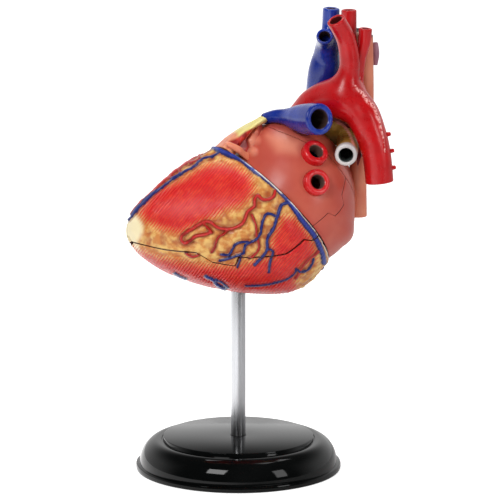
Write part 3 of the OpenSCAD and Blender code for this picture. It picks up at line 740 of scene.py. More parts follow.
class Maker:
    """Lays out one material's nodes."""

    def __init__(self, name: str) -> None:
        """Starts a material with a Principled shader.

        Args:
            name: The material's name.
        """
        self.material = bpy.data.materials.new(name)
        self.material.use_nodes = True
        self.tree = self.material.node_tree
        self.shader = self.tree.nodes["Principled BSDF"]
        self.coords = self.tree.nodes.new("ShaderNodeTexCoord")

    def put(self, socket: bpy.types.NodeSocket, value: object) -> None:
        """Links a socket to another, or sets its value."""
        if isinstance(value, bpy.types.NodeSocket):
            self.tree.links.new(value, socket)
        elif isinstance(value, tuple) and len(value) == 3 and socket.type == "RGBA":
            socket.default_value = (*value, 1.0)
        else:
            socket.default_value = value

    def attribute(self, name: str) -> bpy.types.NodeSocket:
        """The number stored at the vertices under a name."""
        node = self.tree.nodes.new("ShaderNodeAttribute")
        node.attribute_name = name
        return node.outputs["Fac"]

    def noise(self, scale: float, detail: float = 3.0, stretch: Optional[tuple] = None,
              turn: Optional[tuple] = None, rough: float = 0.5) -> bpy.types.NodeSocket:
        """Noise over the object.

        Args:
            scale: Lumps to the metre.
            detail: How many finer layers lie on it.
            stretch: A scale for each axis.
            turn: Turns about each axis, in degrees.
            rough: How strong the finer layers are.

        Returns:
            The noise from 0 to 1.
        """
        vector = self.coords.outputs["Object"]
        if stretch is not None or turn is not None:
            mapping = self.tree.nodes.new("ShaderNodeMapping")
            self.put(mapping.inputs["Vector"], vector)
            if stretch is not None:
                mapping.inputs["Scale"].default_value = stretch
            if turn is not None:
                mapping.inputs["Rotation"].default_value = [math.radians(v) for v in turn]
            vector = mapping.outputs["Vector"]
        node = self.tree.nodes.new("ShaderNodeTexNoise")
        self.put(node.inputs["Vector"], vector)
        node.inputs["Scale"].default_value = scale
        node.inputs["Detail"].default_value = detail
        node.inputs["Roughness"].default_value = rough
        return node.outputs["Fac"]

    def math(self, kind: str, a: object, b: object = 0.0, c: object = 0.0) -> bpy.types.NodeSocket:
        """One sum on numbers.

        Args:
            kind: Blender's name for it.
            a: The first number or socket.
            b: The second.
            c: The third.

        Returns:
            The result's socket.
        """
        node = self.tree.nodes.new("ShaderNodeMath")
        node.operation = kind
        for socket, value in zip(node.inputs, (a, b, c)):
            self.put(socket, value)
        return node.outputs[0]

    def step(self, value: object, low: float, high: float, to_low: float = 0.0, to_high: float = 1.0
             ) -> bpy.types.NodeSocket:
        """A soft step of a value, from one number to another."""
        node = self.tree.nodes.new("ShaderNodeMapRange")
        node.interpolation_type = "SMOOTHSTEP"
        for name, v in zip(("Value", "From Min", "From Max", "To Min", "To Max"),
                           (value, low, high, to_low, to_high)):
            self.put(node.inputs[name], v)
        return node.outputs["Result"]

    def blend(self, share: object, a: object, b: object) -> bpy.types.NodeSocket:
        """A colour between two, by a share from 0 to 1."""
        node = self.tree.nodes.new("ShaderNodeMix")
        node.data_type = "RGBA"
        self.put(node.inputs[0], share)
        self.put(node.inputs[6], a)
        self.put(node.inputs[7], b)
        return node.outputs[2]

    def bump(self, height: object, strength: float, distance: float,
             under: Optional[bpy.types.NodeSocket] = None) -> bpy.types.NodeSocket:
        """A bump on the shader's normal.

        Args:
            height: The height's socket, from 0 to 1.
            strength: How strong it is.
            distance: How high a 1 stands, in millimetres.
            under: Another bump below it.

        Returns:
            The normal's socket.
        """
        node = self.tree.nodes.new("ShaderNodeBump")
        node.inputs["Strength"].default_value = strength
        node.inputs["Distance"].default_value = distance * MM
        self.put(node.inputs["Height"], height)
        if under is not None:
            self.put(node.inputs["Normal"], under)
        return node.outputs["Normal"]

    def finish(self, colour: object, rough: object, normal: object = None, **sockets: float) -> bpy.types.Material:
        """Wires the shader.

        Args:
            colour: The base colour.
            rough: The roughness.
            normal: The normal, if a bump makes one.
            **sockets: Other values, named as the shader's sockets with underscores.

        Returns:
            The material.
        """
        self.put(self.shader.inputs["Base Color"], colour)
        self.put(self.shader.inputs["Roughness"], rough)
        if normal is not None:
            self.put(self.shader.inputs["Normal"], normal)
        for name, value in sockets.items():
            self.shader.inputs[name.replace("_", " ")].default_value = value
        return self.material


@dataclass(frozen=True)
class PlainPaint:
    """Satin paint on moulded plastic, one colour with a little wander."""

    name: str
    colour: tuple
    second: tuple
    rough: float = 0.34
    coat: float = 0.12
    lumps: float = 90.0
    bump: float = 0.25
    bore: Optional[tuple] = None

    def make(self) -> bpy.types.Material:
        """Builds the material."""
        m = Maker(self.name)
        wander = m.noise(self.lumps, 4)
        fine = m.noise(1400, 2)
        colour = m.blend(m.step(wander, 0.35, 0.7), shade(*self.colour), shade(*self.second))
        rough = m.step(m.noise(300, 3), 0.3, 0.75, self.rough - 0.05, self.rough + 0.08)
        if self.bore is not None:
            inner = m.attribute("bore")
            colour = m.blend(inner, colour, shade(*self.bore))
            rough = m.math("MAXIMUM", rough, m.math("MULTIPLY", inner, 0.6))
        soft = m.bump(wander, 0.5, self.bump)
        normal = m.bump(fine, 0.25, 0.05, soft)
        return m.finish(colour, rough, normal, Coat_Weight=self.coat, Coat_Roughness=0.12, Specular_IOR_Level=0.35)


class HeartPaint:
    """The ventricles' paint: red muscle, tan fat, blue veins, red arteries and a pale tip."""

    muscle = (220, 28, 28)
    muscle_light = (232, 62, 40)
    muscle_deep = (158, 8, 12)
    fat = (208, 130, 60)
    fat_light = (236, 190, 110)
    # Colour of the painted shade in the fat's valleys.
    fat_valley_shade = (160, 62, 28)
    cream = (254, 238, 194)
    vein = (36, 52, 148)
    # Painted shade on the flanks of the raised veins.
    vein_flank_shade = (18, 24, 86)
    artery = (196, 34, 28)
    # Painted shade on the flanks of the raised arteries.
    artery_flank_shade = (140, 18, 18)
    # A painted highlight: near-white along the raised rim at the valve plate's edge.
    rim = (240, 232, 224)
    seam = (70, 14, 10)

    def make(self) -> bpy.types.Material:
        """Builds the material from the stored masks."""
        m = Maker("heart_paint")
        fibre = m.attribute("fibre")
        wobble = m.noise(260, 3)
        ridge = m.math("SINE", m.math("MULTIPLY_ADD", fibre, 5.6, m.math("MULTIPLY", wobble, 5.0)))
        ridge = m.math("MULTIPLY_ADD", ridge, 0.5, 0.5)
        lump = m.noise(330, 4)
        fine = m.noise(1100, 3)
        # Red muscle, streaked along its fibres, fading into fat in streaks.
        red = m.blend(m.step(lump, 0.4, 0.75), shade(*self.muscle), shade(*self.muscle_light))
        red = m.blend(m.math("MULTIPLY", m.step(ridge, 0.55, 0.0), 0.35), red, shade(*self.muscle_deep))
        fat = m.blend(m.step(lump, 0.38, 0.62), shade(*self.fat), shade(*self.fat_light))
        # Painted shade: the fat turns darker brown where the relief dips, as if shadowed in its valleys.
        valley_shade = m.step(m.attribute("height"), 0.05, -0.45)
        fat = m.blend(m.math("MULTIPLY", valley_shade, 0.75), fat, shade(*self.fat_valley_shade))
        fat = m.blend(m.step(m.attribute("cream"), 0.15, 0.85), fat, shade(*self.cream))
        edge = m.math("MULTIPLY_ADD", m.math("SUBTRACT", ridge, 0.5), 2.4, m.attribute("muscle"))
        edge = m.math("MULTIPLY_ADD", m.math("SUBTRACT", lump, 0.5), 2.5, edge)
        base = m.blend(m.step(edge, -2.6, 2.6), fat, red)
        # Painted shadow: a dark brown line along the foot of each raised vessel.
        vessel_foot_shade = m.math("MAXIMUM", m.attribute("vein"), m.attribute("artery"))
        base = m.blend(m.math("MULTIPLY", m.step(vessel_foot_shade, -0.75, -0.1), 0.55), base, shade(120, 30, 16))
        # Painted vessels, each darker towards its edges: painted shade on the flanks of the raised relief.
        blue = m.blend(m.step(m.attribute("vein"), 0.1, 0.9), shade(*self.vein_flank_shade), shade(*self.vein))
        artery = m.blend(m.step(m.attribute("artery"), 0.0, 0.5), shade(*self.artery_flank_shade), shade(*self.artery))
        shaky = m.math("MULTIPLY", m.math("SUBTRACT", m.noise(700, 2), 0.5), 0.7)
        base = m.blend(m.step(m.math("ADD", m.attribute("artery"), shaky), -0.16, 0.10), base, artery)
        base = m.blend(m.step(m.math("ADD", m.attribute("vein"), shaky), -0.14, 0.10), base, blue)
        # Painted highlight: a broken near-white line along the rim at the valve plate's edge.
        base = m.blend(m.math("MULTIPLY", m.attribute("rim"), m.step(m.noise(240, 2), 0.3, 0.5)), base,
                       shade(*self.rim))
        base = m.blend(m.attribute("groove"), base, shade(34, 14, 14))
        base = m.blend(m.step(m.attribute("edge"), 0.34, 0.16), base, shade(*self.seam))
        ridges = m.math("MULTIPLY", ridge, m.step(edge, -3.0, 1.5))
        normal = m.bump(ridges, 0.55, 0.35)
        normal = m.bump(lump, 0.4, 0.5, normal)
        normal = m.bump(fine, 0.3, 0.08, normal)
        rough = m.step(m.noise(420, 3), 0.3, 0.7, 0.30, 0.46)
        return m.finish(base, rough, normal, Coat_Weight=0.12, Coat_Roughness=0.2, Specular_IOR_Level=0.35)


class AtriumPaint:
    """The atria's salmon paint, with painted highlights on the swells, and redder low down."""

    def make(self) -> bpy.types.Material:
        """Builds the material."""
        m = Maker("atrium_paint")
        cloud = m.noise(45, 3)
        base = m.blend(m.step(cloud, 0.35, 0.68), shade(190, 78, 64), shade(202, 96, 76))
        # Painted highlight: glow lays a pale peach where light falls on the swells and scallops.
        base = m.blend(m.attribute("glow"), base, shade(244, 160, 128))
        red = m.blend(m.step(m.noise(420, 3), 0.4, 0.7), shade(158, 14, 14), shade(204, 58, 40))
        base = m.blend(m.attribute("blush"), base, red)
        base = m.blend(m.step(m.attribute("edge"), 0.24, 0.08), base, shade(96, 24, 20))
        normal = m.bump(m.noise(900, 2), 0.2, 0.05)
        rough = m.step(m.noise(260, 3), 0.3, 0.7, 0.30, 0.40)
        return m.finish(base, rough, normal, Coat_Weight=0.1, Coat_Roughness=0.2, Specular_IOR_Level=0.35)


class ConusPaint:
    """Pale yellow paint that turns peach low down."""

    def make(self) -> bpy.types.Material:
        """Builds the material."""
        m = Maker("conus_paint")
        base = m.blend(m.step(m.noise(120, 3), 0.35, 0.7), shade(224, 204, 104), shade(242, 228, 150))
        peach = m.blend(m.step(m.noise(320, 3), 0.35, 0.65), shade(222, 116, 88), shade(236, 156, 112))
        base = m.blend(m.attribute("blush"), base, peach)
        dark = m.blend(m.step(m.noise(420, 3), 0.4, 0.7), shade(150, 14, 14), shade(206, 48, 34))
        base = m.blend(m.attribute("hollow"), base, dark)
        normal = m.bump(m.noise(300, 3), 0.3, 0.3)
        return m.finish(base, 0.42, normal, Coat_Weight=0.15, Coat_Roughness=0.2)


class AirwayPaint:
    """The windpipe's paint: grey-white at the cut mouth, a darker yellow-brown behind it as painted shade of the cream,
    cream higher up, and a painted highlight line.
    """

    def make(self) -> bpy.types.Material:
        """Builds the material."""
        m = Maker("airway_paint")
        cloud = m.step(m.noise(110, 3), 0.35, 0.7)
        mouth = m.blend(cloud, shade(214, 208, 206), shade(190, 184, 184))
        # Painted shade: the windpipe's cream as it looks in the arch's shadow, a darker yellow-brown.
        olive = m.blend(cloud, shade(176, 134, 54), shade(146, 104, 40))
        cream = m.blend(cloud, shade(232, 214, 196), shade(220, 192, 172))
        base = m.blend(m.attribute("high"), olive, cream)
        base = m.blend(m.attribute("deep"), mouth, base)
        # Painted highlight: a pinkish line along the lit edge of the bronchus.
        base = m.blend(m.attribute("arc"), base, shade(236, 158, 138))
        base = m.blend(m.attribute("bore"), base, shade(78, 86, 86))
        rough = m.step(m.noise(300, 3), 0.3, 0.75, 0.32, 0.46)
        return m.finish(base, rough, m.bump(m.noise(900, 2), 0.25, 0.06), Coat_Weight=0.1, Coat_Roughness=0.2)


class ShadowWebPaint:
    """Painted shade for a sheet under the arch: dark red, with the windpipe's painted shade in yellow-brown below a
    painted highlight line.
    """

    def make(self) -> bpy.types.Material:
        """Builds the material."""
        m = Maker("web_paint")
        cloud = m.step(m.noise(160, 3), 0.35, 0.7)
        # Painted shade: the dark red stands in for the shadow under the arch.
        base = m.blend(cloud, shade(118, 16, 16), shade(84, 8, 10))
        # Painted shade: the windpipe's cream as it looks in the arch's shadow, below the highlight line.
        base = m.blend(m.attribute("olive"), base, m.blend(cloud, shade(178, 136, 54), shade(134, 92, 34)))
        # Painted highlight: the same pinkish line along the bronchus's lit edge.
        base = m.blend(m.attribute("arc"), base, shade(232, 150, 132))
        return m.finish(base, 0.45, m.bump(m.noise(500, 3), 0.3, 0.1), Specular_IOR_Level=0.3)


class BlackGloss:
    """Polished black plastic with the faintest haze."""

    def make(self) -> bpy.types.Material:
        """Builds the material."""
        m = Maker("black_gloss")
        haze = m.noise(38, 4)
        colour = m.blend(m.step(haze, 0.4, 0.8), (0.0018, 0.0022, 0.0022, 1.0), (0.0045, 0.005, 0.005, 1.0))
        rough = m.step(haze, 0.3, 0.8, 0.05, 0.11)
        return m.finish(colour, rough, m.bump(m.noise(60, 2), 0.12, 0.12), Specular_IOR_Level=0.18)


class SatinMetal:
    """A drawn metal rod with a fine grain along it."""

    def make(self) -> bpy.types.Material:
        """Builds the material."""
        m = Maker("satin_metal")
        lines = m.noise(1800, 3, stretch=(1.0, 1.0, 0.03))
        colour = m.blend(lines, shade(176, 177, 180), shade(204, 205, 208))
        rough = m.step(lines, 0.3, 0.7, 0.26, 0.38)
        return m.finish(colour, rough, m.bump(lines, 0.25, 0.03), Metallic=1.0)


class Paint(Enum):
    """The finishes, by name."""

    HEART = "heart"
    INNER = "inner"
    ATRIUM = "atrium"
    CONUS = "conus"
    ARTERY = "artery"
    VEIN = "vein"
    STUB = "stub"
    BRONCHUS = "bronchus"
    WEB = "web"
    GULLET = "gullet"
    MAUVE = "mauve"
    AURICLE = "auricle"
    VALVE = "valve"
    PLATE = "plate"
    BLACK = "black"
    METAL = "metal"
    RIM = "rim"


@dataclass
class PaintShelf:
    """Makes each finish once and hands it out."""

    made: dict = field(default_factory=dict)

    def makers(self) -> dict:
        """How each finish is made."""
        brown = (70, 48, 44)
        return {
            Paint.HEART: HeartPaint(), Paint.ATRIUM: AtriumPaint(), Paint.CONUS: ConusPaint(),
            Paint.BLACK: BlackGloss(), Paint.METAL: SatinMetal(),
            Paint.INNER: PlainPaint("inner_flesh", (206, 112, 92), (190, 84, 70), 0.42, 0.1),
            Paint.ARTERY: PlainPaint("artery_red", (198, 10, 18), (180, 6, 14), 0.30, 0.15, bore=(96, 18, 20)),
            Paint.STUB: PlainPaint("stub_red", (212, 18, 26), (192, 10, 18), 0.26, 0.3, bore=(104, 74, 66)),
            Paint.VEIN: PlainPaint("vein_blue", (16, 52, 158), (10, 38, 132), 0.26, 0.3, bore=brown),
            Paint.BRONCHUS: AirwayPaint(),
            Paint.WEB: ShadowWebPaint(),
            Paint.GULLET: PlainPaint("gullet_peach", (226, 138, 108), (214, 116, 90), 0.36, 0.2, bore=brown),
            Paint.MAUVE: PlainPaint("azygos_mauve", (176, 128, 146), (160, 104, 124), 0.4, 0.15),
            Paint.AURICLE: PlainPaint("auricle_peach", (236, 146, 112), (226, 112, 88), 0.38, 0.2, 160, 0.5),
            Paint.VALVE: PlainPaint("valve_cream", (238, 224, 192), (228, 206, 168), 0.42, 0.1),
            Paint.PLATE: PlainPaint("plate_tan", (222, 178, 138), (210, 158, 116), 0.45, 0.1),
            Paint.RIM: PlainPaint("socket_rim", (222, 96, 84), (206, 74, 66), 0.4, 0.1),
        }

    def of(self, paint: Paint) -> bpy.types.Material:
        """The material of a finish."""
        if paint not in self.made:
            self.made[paint] = self.makers()[paint].make()
        return self.made[paint]

    def dress(self, obj: bpy.types.Object, *paints: Paint) -> bpy.types.Object:
        """Gives an object its finishes, in the order of its slots."""
        obj.data.materials.clear()
        for paint in paints:
            obj.data.materials.append(self.of(paint))
        return obj


SHELF = PaintShelf()


def hand_in(obj: bpy.types.Object, body: str, nodes: Sequence[str]) -> bpy.types.Object:
    """Fixes a finished piece to its body.

    Args:
        obj: The piece.
        body: The body that carries it.
        nodes: The nodes it stands for.

    Returns:
        The piece.
    """
    nothing_selected()
    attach(obj, body)
    if nodes:
        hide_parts(*nodes)
    log.info("%s: %d faces on %s", obj.name, len(obj.data.polygons), body)
    return obj


def polished(node: str, name: str, angle: float = 30.0) -> bpy.types.Object:
    """A smooth-shaded copy of a node's solid.

    Args:
        node: The node.
        name: The copy's name.
        angle: Edges sharper than this stay sharp.

    Returns:
        The copy.
    """
    source = FRAME["nodes"][node]
    copy = bpy.data.objects.new(name, source.data.copy())
    bpy.context.scene.collection.objects.link(copy)
    copy.data.name = name
    for layer in list(copy.data.attributes):
        if layer.name.startswith("_") or layer.name in ("custom_normal",):
            copy.data.attributes.remove(layer)
    make_active(copy)
    bpy.ops.object.mode_set(mode="EDIT")
    bpy.ops.mesh.select_all(action="SELECT")
    bpy.ops.mesh.remove_doubles(threshold=1e-6)
    bpy.ops.object.mode_set(mode="OBJECT")
    return smoothed(copy, angle)


# ---------------------------------------------------------------- painted relief


class Side(Enum):
    """Where a line or patch is drawn: in the picture, or on the form."""

    PICTURE = 0
    FORM = 1


@dataclass(frozen=True)
class Vessel:
    """A vessel raised and painted on a wall."""

    line: tuple
    width: float
    rise: float = 0.8
    side: Side = Side.PICTURE
    end: float = 0.45

    def reach(self, sheet: "Sheet") -> Array:
        """How far inside the vessel each point lies, over its half width."""
        if self.side is Side.PICTURE:
            line = wavy(self.line)
            d = away_from(sheet.seen, line) * EYE.scale
            d = np.where(sheet.turned > -0.25, d, 1e3)
        else:
            rows = wavy(self.line, 8)
            line = to_part(sheet.form.skin(rows[:, 0], rows[:, 1]))
            d = away_from(sheet.points, line)
        return self.width / 2 - d


@dataclass(frozen=True)
class Patch:
    """An area of paint, by its outline."""

    outline: tuple
    side: Side = Side.PICTURE

    def depth(self, sheet: "Sheet") -> Array:
        """How deep each point lies in the patch, in millimetres."""
        if self.side is Side.PICTURE:
            d = inside_of(sheet.seen, np.array(self.outline, float)) * EYE.scale
            return np.where(sheet.turned > -0.3, d, -20.0)
        at = np.stack([sheet.s * ROW_H, sheet.a * 0.5], -1)
        return inside_of(at, np.array(self.outline, float) * [ROW_H, 0.5])


@dataclass
class Sheet:
    """A stretch of a form's surface, and what is painted and raised on it."""

    form: Form
    s: Array
    a: Array
    points: Array = field(init=False)
    normals: Array = field(init=False)
    seen: Array = field(init=False)
    turned: Array = field(init=False)

    def __post_init__(self) -> None:
        """Works out the places and normals."""
        self.points = to_part(self.form.skin(self.s, self.a))
        n = self.form.outward(self.s, self.a)
        self.normals = n[:, :1] * CHORD + n[:, 1:2] * RIGHT + n[:, 2:] * LENGTH
        self.seen = EYE.picture_of(self.points)
        self.turned = EYE.facing(self.normals)

    def deepest(self, marks: Sequence) -> Array:
        """The largest reach or depth over several marks, at each point."""
        out = np.full(len(self.s), -20.0)
        for mark in marks:
            out = np.maximum(out, mark.reach(self) if isinstance(mark, Vessel) else mark.depth(self))
        return out


BAND = Vessel(((210, 145), (219.3, 150.6), (231, 155.8), (241.8, 160.4), (251.4, 168.6), (265.5, 178.6),
               (278.6, 189.8), (288.4, 201), (301, 219.3), (312.2, 233.3), (317.8, 243.1), (322, 252.9),
               (323.5, 262)), 2.45, 0.9)
NEAR_VEINS = (
    Vessel(((289, 203), (281.4, 205.2), (277.6, 216.5)), 1.5),
    Vessel(((277.1, 216.5), (268.7, 213.7), (264.5, 216.5), (261.7, 224.9), (260.3, 233.3), (254.7, 240.3),
            (246.3, 244.5), (243.5, 252.9)), 1.25),
    Vessel(((277.1, 216.5), (272.9, 229.1), (267.3, 238.9), (267.3, 248.7), (263.1, 255.7), (254.7, 264.2)), 1.4),
    Vessel(((268, 249), (272.9, 251.5), (270.1, 261.4), (268.7, 271.2)), 1.1),
    Vessel(((221, 254.3), (229.4, 254.3), (235.1, 244.5), (243.5, 241.7), (250, 242.5)), 1.15),
    Vessel(((219.6, 260.7), (236.5, 255.7), (243.5, 252.9)), 1.1),
    Vessel(((219.5, 153), (211, 156.6), (202.7, 159), (192, 168), (181, 174), (172, 179.5), (163, 187),
            (150, 197), (137, 210), (129, 220)), 1.15, 0.6),
    Vessel(((241, 257), (239, 262), (237.5, 267)), 0.9, 0.4),
    Vessel(((175, 272.5), (180, 275.5), (186, 278)), 1.2, 0.6),
    Vessel(((206, 275.5), (213, 279), (218, 284.5), (225, 288)), 1.5, 0.7),
    Vessel(((212, 279), (220, 280.5), (228, 287)), 1.1, 0.5),
    Vessel(((296, 269), (302, 272), (310, 268), (313.5, 259)), 1.0, 0.5),
    Vessel(((246, 285), (262, 284.5), (276, 282), (290, 277), (297, 270)), 0.9, 0.4),
)
NEAR_ARTERIES = (
    Vessel(((274.6, 191.5), (273.6, 196), (268.7, 199.6), (262, 199.4), (257.5, 195.8), (254.6, 200), (254, 206.6),
            (247.5, 212), (244.9, 219.3), (240.7, 224.9), (229.4, 229.1), (218.2, 227.7), (211, 222.6),
            (204.2, 222.1), (193, 228.5), (183.1, 234.7), (181.5, 239.5), (185, 243.1), (190, 240.5),
            (195.8, 236.1), (205, 234.5), (211.2, 231.9)), 1.5, 0.95),
    Vessel(((251.9, 215.1), (256.1, 226.3), (256.4, 234.7), (258.9, 247.3), (253.3, 255.7), (249, 258)), 1.0, 0.7),
    Vessel(((228, 229.5), (224, 234), (218.2, 237.5), (214, 248.7), (211.5, 252)), 1.0, 0.7),
    Vessel(((203, 223), (208, 228), (212, 232.5)), 1.1, 0.7),
    Vessel(((213, 145.5), (205, 150), (196, 156.5), (186, 164), (176, 171), (166, 180), (154, 191), (141, 203),
            (131, 214)), 1.3, 0.8),
    Vessel(((200, 154.5), (197.5, 160), (190, 163)), 0.9, 0.5),
    Vessel(((180, 169), (179, 175), (170, 178.5)), 0.9, 0.5),
    Vessel(((186, 253), (192, 256.5), (199, 254.5)), 1.0, 0.6),
    Vessel(((296, 278), (303, 266), (309, 259), (316, 254), (321, 246)), 1.0, 0.5),
)
FAR_VEINS = (
    Vessel(((0.28, 116), (0.30, 150), (0.36, 185), (0.40, 215)), 3.4, 0.9, Side.FORM),
    Vessel(((0.4, 188), (1.6, 192), (3.0, 190), (4.2, 196), (5.4, 200), (6.2, 205)), 1.7, 0.8, Side.FORM),
    Vessel(((2.2, 190), (2.8, 178), (3.6, 170), (4.4, 165)), 1.2, 0.6, Side.FORM),
    Vessel(((1.4, 192), (2.0, 206), (3.0, 214), (4.0, 216)), 1.2, 0.6, Side.FORM),
    Vessel(((0.4, 215), (0.44, 250), (0.42, 300), (0.5, 330)), 1.5, 0.6, Side.FORM),
    Vessel(((0.44, 262), (1.6, 270), (2.6, 268), (3.8, 278), (4.8, 284)), 1.2, 0.6, Side.FORM),
    Vessel(((2.6, 268), (3.2, 258), (4.2, 254)), 1.0, 0.5, Side.FORM),
    Vessel(((1.2, 344), (2.4, 350), (3.6, 346), (5.0, 350), (6.2, 352)), 1.2, 0.6, Side.FORM),
)
FAR_ARTERIES = (
    Vessel(((0.25, 352), (0.75, 336), (0.9, 310), (0.86, 280), (0.8, 255), (0.85, 225), (0.9, 200), (1.0, 197)),
           2.1, 1.0, Side.FORM),
    Vessel(((0.9, 198), (2.0, 200), (3.2, 198), (4.6, 206), (5.8, 210)), 1.6, 0.8, Side.FORM),
    Vessel(((0.84, 268), (1.8, 276), (2.8, 282), (3.6, 290), (4.8, 296), (5.6, 300)), 1.6, 0.8, Side.FORM),
    Vessel(((2.4, 280), (3.0, 270), (4.0, 268)), 1.1, 0.6, Side.FORM),
    Vessel(((0.9, 312), (1.8, 318), (2.6, 314), (3.4, 322), (4.2, 320)), 1.3, 0.7, Side.FORM),
    Vessel(((0.7, 338), (1.6, 342), (3.0, 338), (4.6, 343), (6.0, 346)), 1.3, 0.7, Side.FORM),
    Vessel(((2.0, 200), (2.6, 188), (3.4, 182), (4.4, 180)), 1.1, 0.6, Side.FORM),
)
NEAR_MUSCLE = (
    Patch(((139, 212), (147, 198), (158, 188), (178, 180), (192, 172), (207, 164.5), (224, 163), (238, 167),
           (250, 176), (255, 188), (250, 199), (240, 207), (226, 210), (212, 218), (196, 226), (180, 234),
           (160, 229), (146, 222))),
    Patch(((276, 228), (283, 217), (295, 217), (305, 228), (312.5, 240), (316, 250), (314, 262), (296, 268),
           (280, 266), (271, 258), (270.5, 246), (273, 236))),
    Patch(((124, 244), (138, 250), (160, 257.5), (186, 262), (208, 265), (238, 266), (258, 260), (280, 255),
           (306, 250), (311, 258), (302, 266), (296, 280), (300, 300), (160, 300), (118, 262))),
)
FAR_MUSCLE = (
    Patch(((1.3, 128), (2.2, 124), (3.6, 128), (5.4, 132), (6.1, 160), (5.4, 186), (3.4, 184), (1.6, 182)),
          Side.FORM),
    Patch(((1.3, 204), (3.0, 206), (5.0, 212), (5.8, 232), (4.6, 262), (3.0, 264), (1.4, 258)), Side.FORM),
    Patch(((1.4, 278), (3.0, 288), (4.8, 302), (5.4, 322), (4.4, 336), (2.6, 334), (1.4, 330), (1.3, 300)),
          Side.FORM),
)


@dataclass
class Ventricles:
    """The three outer walls of the ventricles."""

    wall: float = 2.4
    end: float = 7.0
    post_d: float = 5.0
    pin_d: float = 3.0
    pin_l: float = 1.2
    post_gap: float = 0.7
    septum_t: float = 3.0
    septum_y: float = -2.0
    septum_bulge: float = 4.0
    rod_hole: float = 3.3

    def septum_point(self, s: float, f: float) -> Array:
        """A point in the septum's middle, in the heart's frame."""
        one = np.array([s])
        ends = []
        for angle in (0.0, 180.0):
            a = np.array([angle])
            ends.append((VENTRICLES.skin(one, a) - (self.wall + 0.8) * VENTRICLES.outward(one, a))[0])
        middle = ends[0] * (1 - f) + ends[1] * f
        return middle + [0, self.septum_y + self.septum_bulge * math.sin(math.pi * f), 0]

    def relief(self, sheet: Sheet, from_edge: Array, rim_at: Array) -> tuple:
        """The heights and masks of a stretch of wall.

        Args:
            sheet: The stretch.
            from_edge: How far each point is from the nearest seam, in millimetres.
            rim_at: How far each point is from the valve plate's edge, in millimetres.

        Returns:
            The heights in millimetres and a dictionary of masks.
        """
        p = sheet.points
        near = smooth(-0.35, 0.0, sheet.turned)
        veins = np.maximum(sheet.deepest(NEAR_VEINS), np.where(near > 0.5, -20.0, sheet.deepest(FAR_VEINS)))
        band = BAND.reach(sheet)
        arteries = np.maximum(sheet.deepest(NEAR_ARTERIES),
                              np.where(near > 0.5, -20.0, sheet.deepest(FAR_ARTERIES)))
        muscle = np.where(near > 0.5, sheet.deepest(NEAR_MUSCLE), sheet.deepest(FAR_MUSCLE))
        grains = Grain(3), Grain(8), Grain(21)
        fat = 1 - smooth(-1.5, 1.5, muscle)
        lumps = 0.34 * grains[0].at(p, 3.4) + 0.22 * grains[1].at(p, 1.7)
        lumps += 0.30 * np.abs(grains[2].at(p, 2.4)) - 0.1
        swell = 0.5 * smooth(-1.0, 6.0, muscle)
        cross = sheet.seen @ np.array([0.77, 0.64]) * EYE.scale
        far_cross = sheet.a * 0.42 + sheet.s * 4.2
        fibre = np.where(near > 0.5, cross, far_cross)
        ridges = 0.10 * np.sin(5.6 * fibre + 2.5 * grains[1].at(p, 5.0)) * smooth(-2.0, 1.0, muscle)
        tip = smooth(24.0, 9.0, np.linalg.norm(sheet.seen - [126.0, 229.0], axis=1)) * near
        tip = np.maximum(tip, smooth(6.0, 6.7, sheet.s))
        height = (lumps * fat * (1 - 0.7 * tip) + swell + ridges) * smooth(0.0, 1.2, from_edge)
        for vessels in (NEAR_VEINS + FAR_VEINS, NEAR_ARTERIES + FAR_ARTERIES):
            for vessel in vessels:
                hidden = near > 0.5 if vessel.side is Side.FORM else near <= 0.02
                reach = np.where(hidden, -20.0, vessel.reach(sheet))
                half = vessel.width / 2
                lift = smooth(-half * 0.7, half * 0.9, reach)
                groove = smooth(-half * 2.2, -half * 0.6, reach) * (1 - lift)
                height = height * (1 - 0.6 * lift) + vessel.rise * lift - 0.22 * groove
        lift = smooth(-0.5, 0.9, band)
        height = height * (1 - lift) + (0.75 + 0.15 * grains[1].at(p, 3.0)) * lift
        # rim marks a painted highlight line along the raised rim, on the near side and towards the right only.
        rim = smooth(0.42, 0.22, np.abs(rim_at - 1.15)) * near * smooth(238, 252, sheet.seen[:, 0])
        groove = smooth(0.85, 0.65, rim_at)
        height += 0.25 * smooth(0.45, 0.25, np.abs(rim_at - 1.15)) * near - 0.35 * groove
        height -= 0.45 * smooth(0.55, 0.0, from_edge) ** 2
        marks = {
            "vein": np.maximum(veins, band - 0.05), "artery": arteries, "muscle": muscle, "fibre": fibre,
            "height": height, "cream": tip, "rim": rim, "groove": groove, "edge": from_edge,
        }
        return height, marks

    def panel(self, name: str, low: Callable, high: Callable, cols: int, rows: int) -> bpy.types.Object:
        """A wall between two seams, with its relief and masks.

        Args:
            name: The new object's name.
            low: The first seam's angle at sections.
            high: The second seam's angle at sections.
            cols: Faces across.
            rows: Faces along.

        Returns:
            The open sheet.
        """
        store: dict = {}

        def place(u: Array, w: Array) -> Array:
            """Lays the sheet and its relief on the ventricles."""
            s = u * self.end
            half = np.degrees(np.arcsin(SEAM / 2 / through(VENTRICLES.rows, s)[:, 4]))
            lo, hi = low(s) + half, high(s) - half
            a = lo + (hi - lo) * w
            sheet = Sheet(VENTRICLES, s, a)
            mm = through(VENTRICLES.rows, s)
            round_mm = np.radians(1) * (mm[:, 4] + np.abs(mm[:, 2] - mm[:, 0]) / 2) / 2
            from_edge = np.minimum(a - lo, hi - a) * round_mm
            height, marks = self.relief(sheet, from_edge, s * 9.5)
            store.update(marks, outward=sheet.normals)
            return (sheet.points + height[:, None] * sheet.normals) * MM

        obj, _, _ = laid_grid(name, cols, rows, place)
        faces_away(obj, store.pop("outward"))
        for key, values in store.items():
            put_attribute(obj, key, values)
        return obj

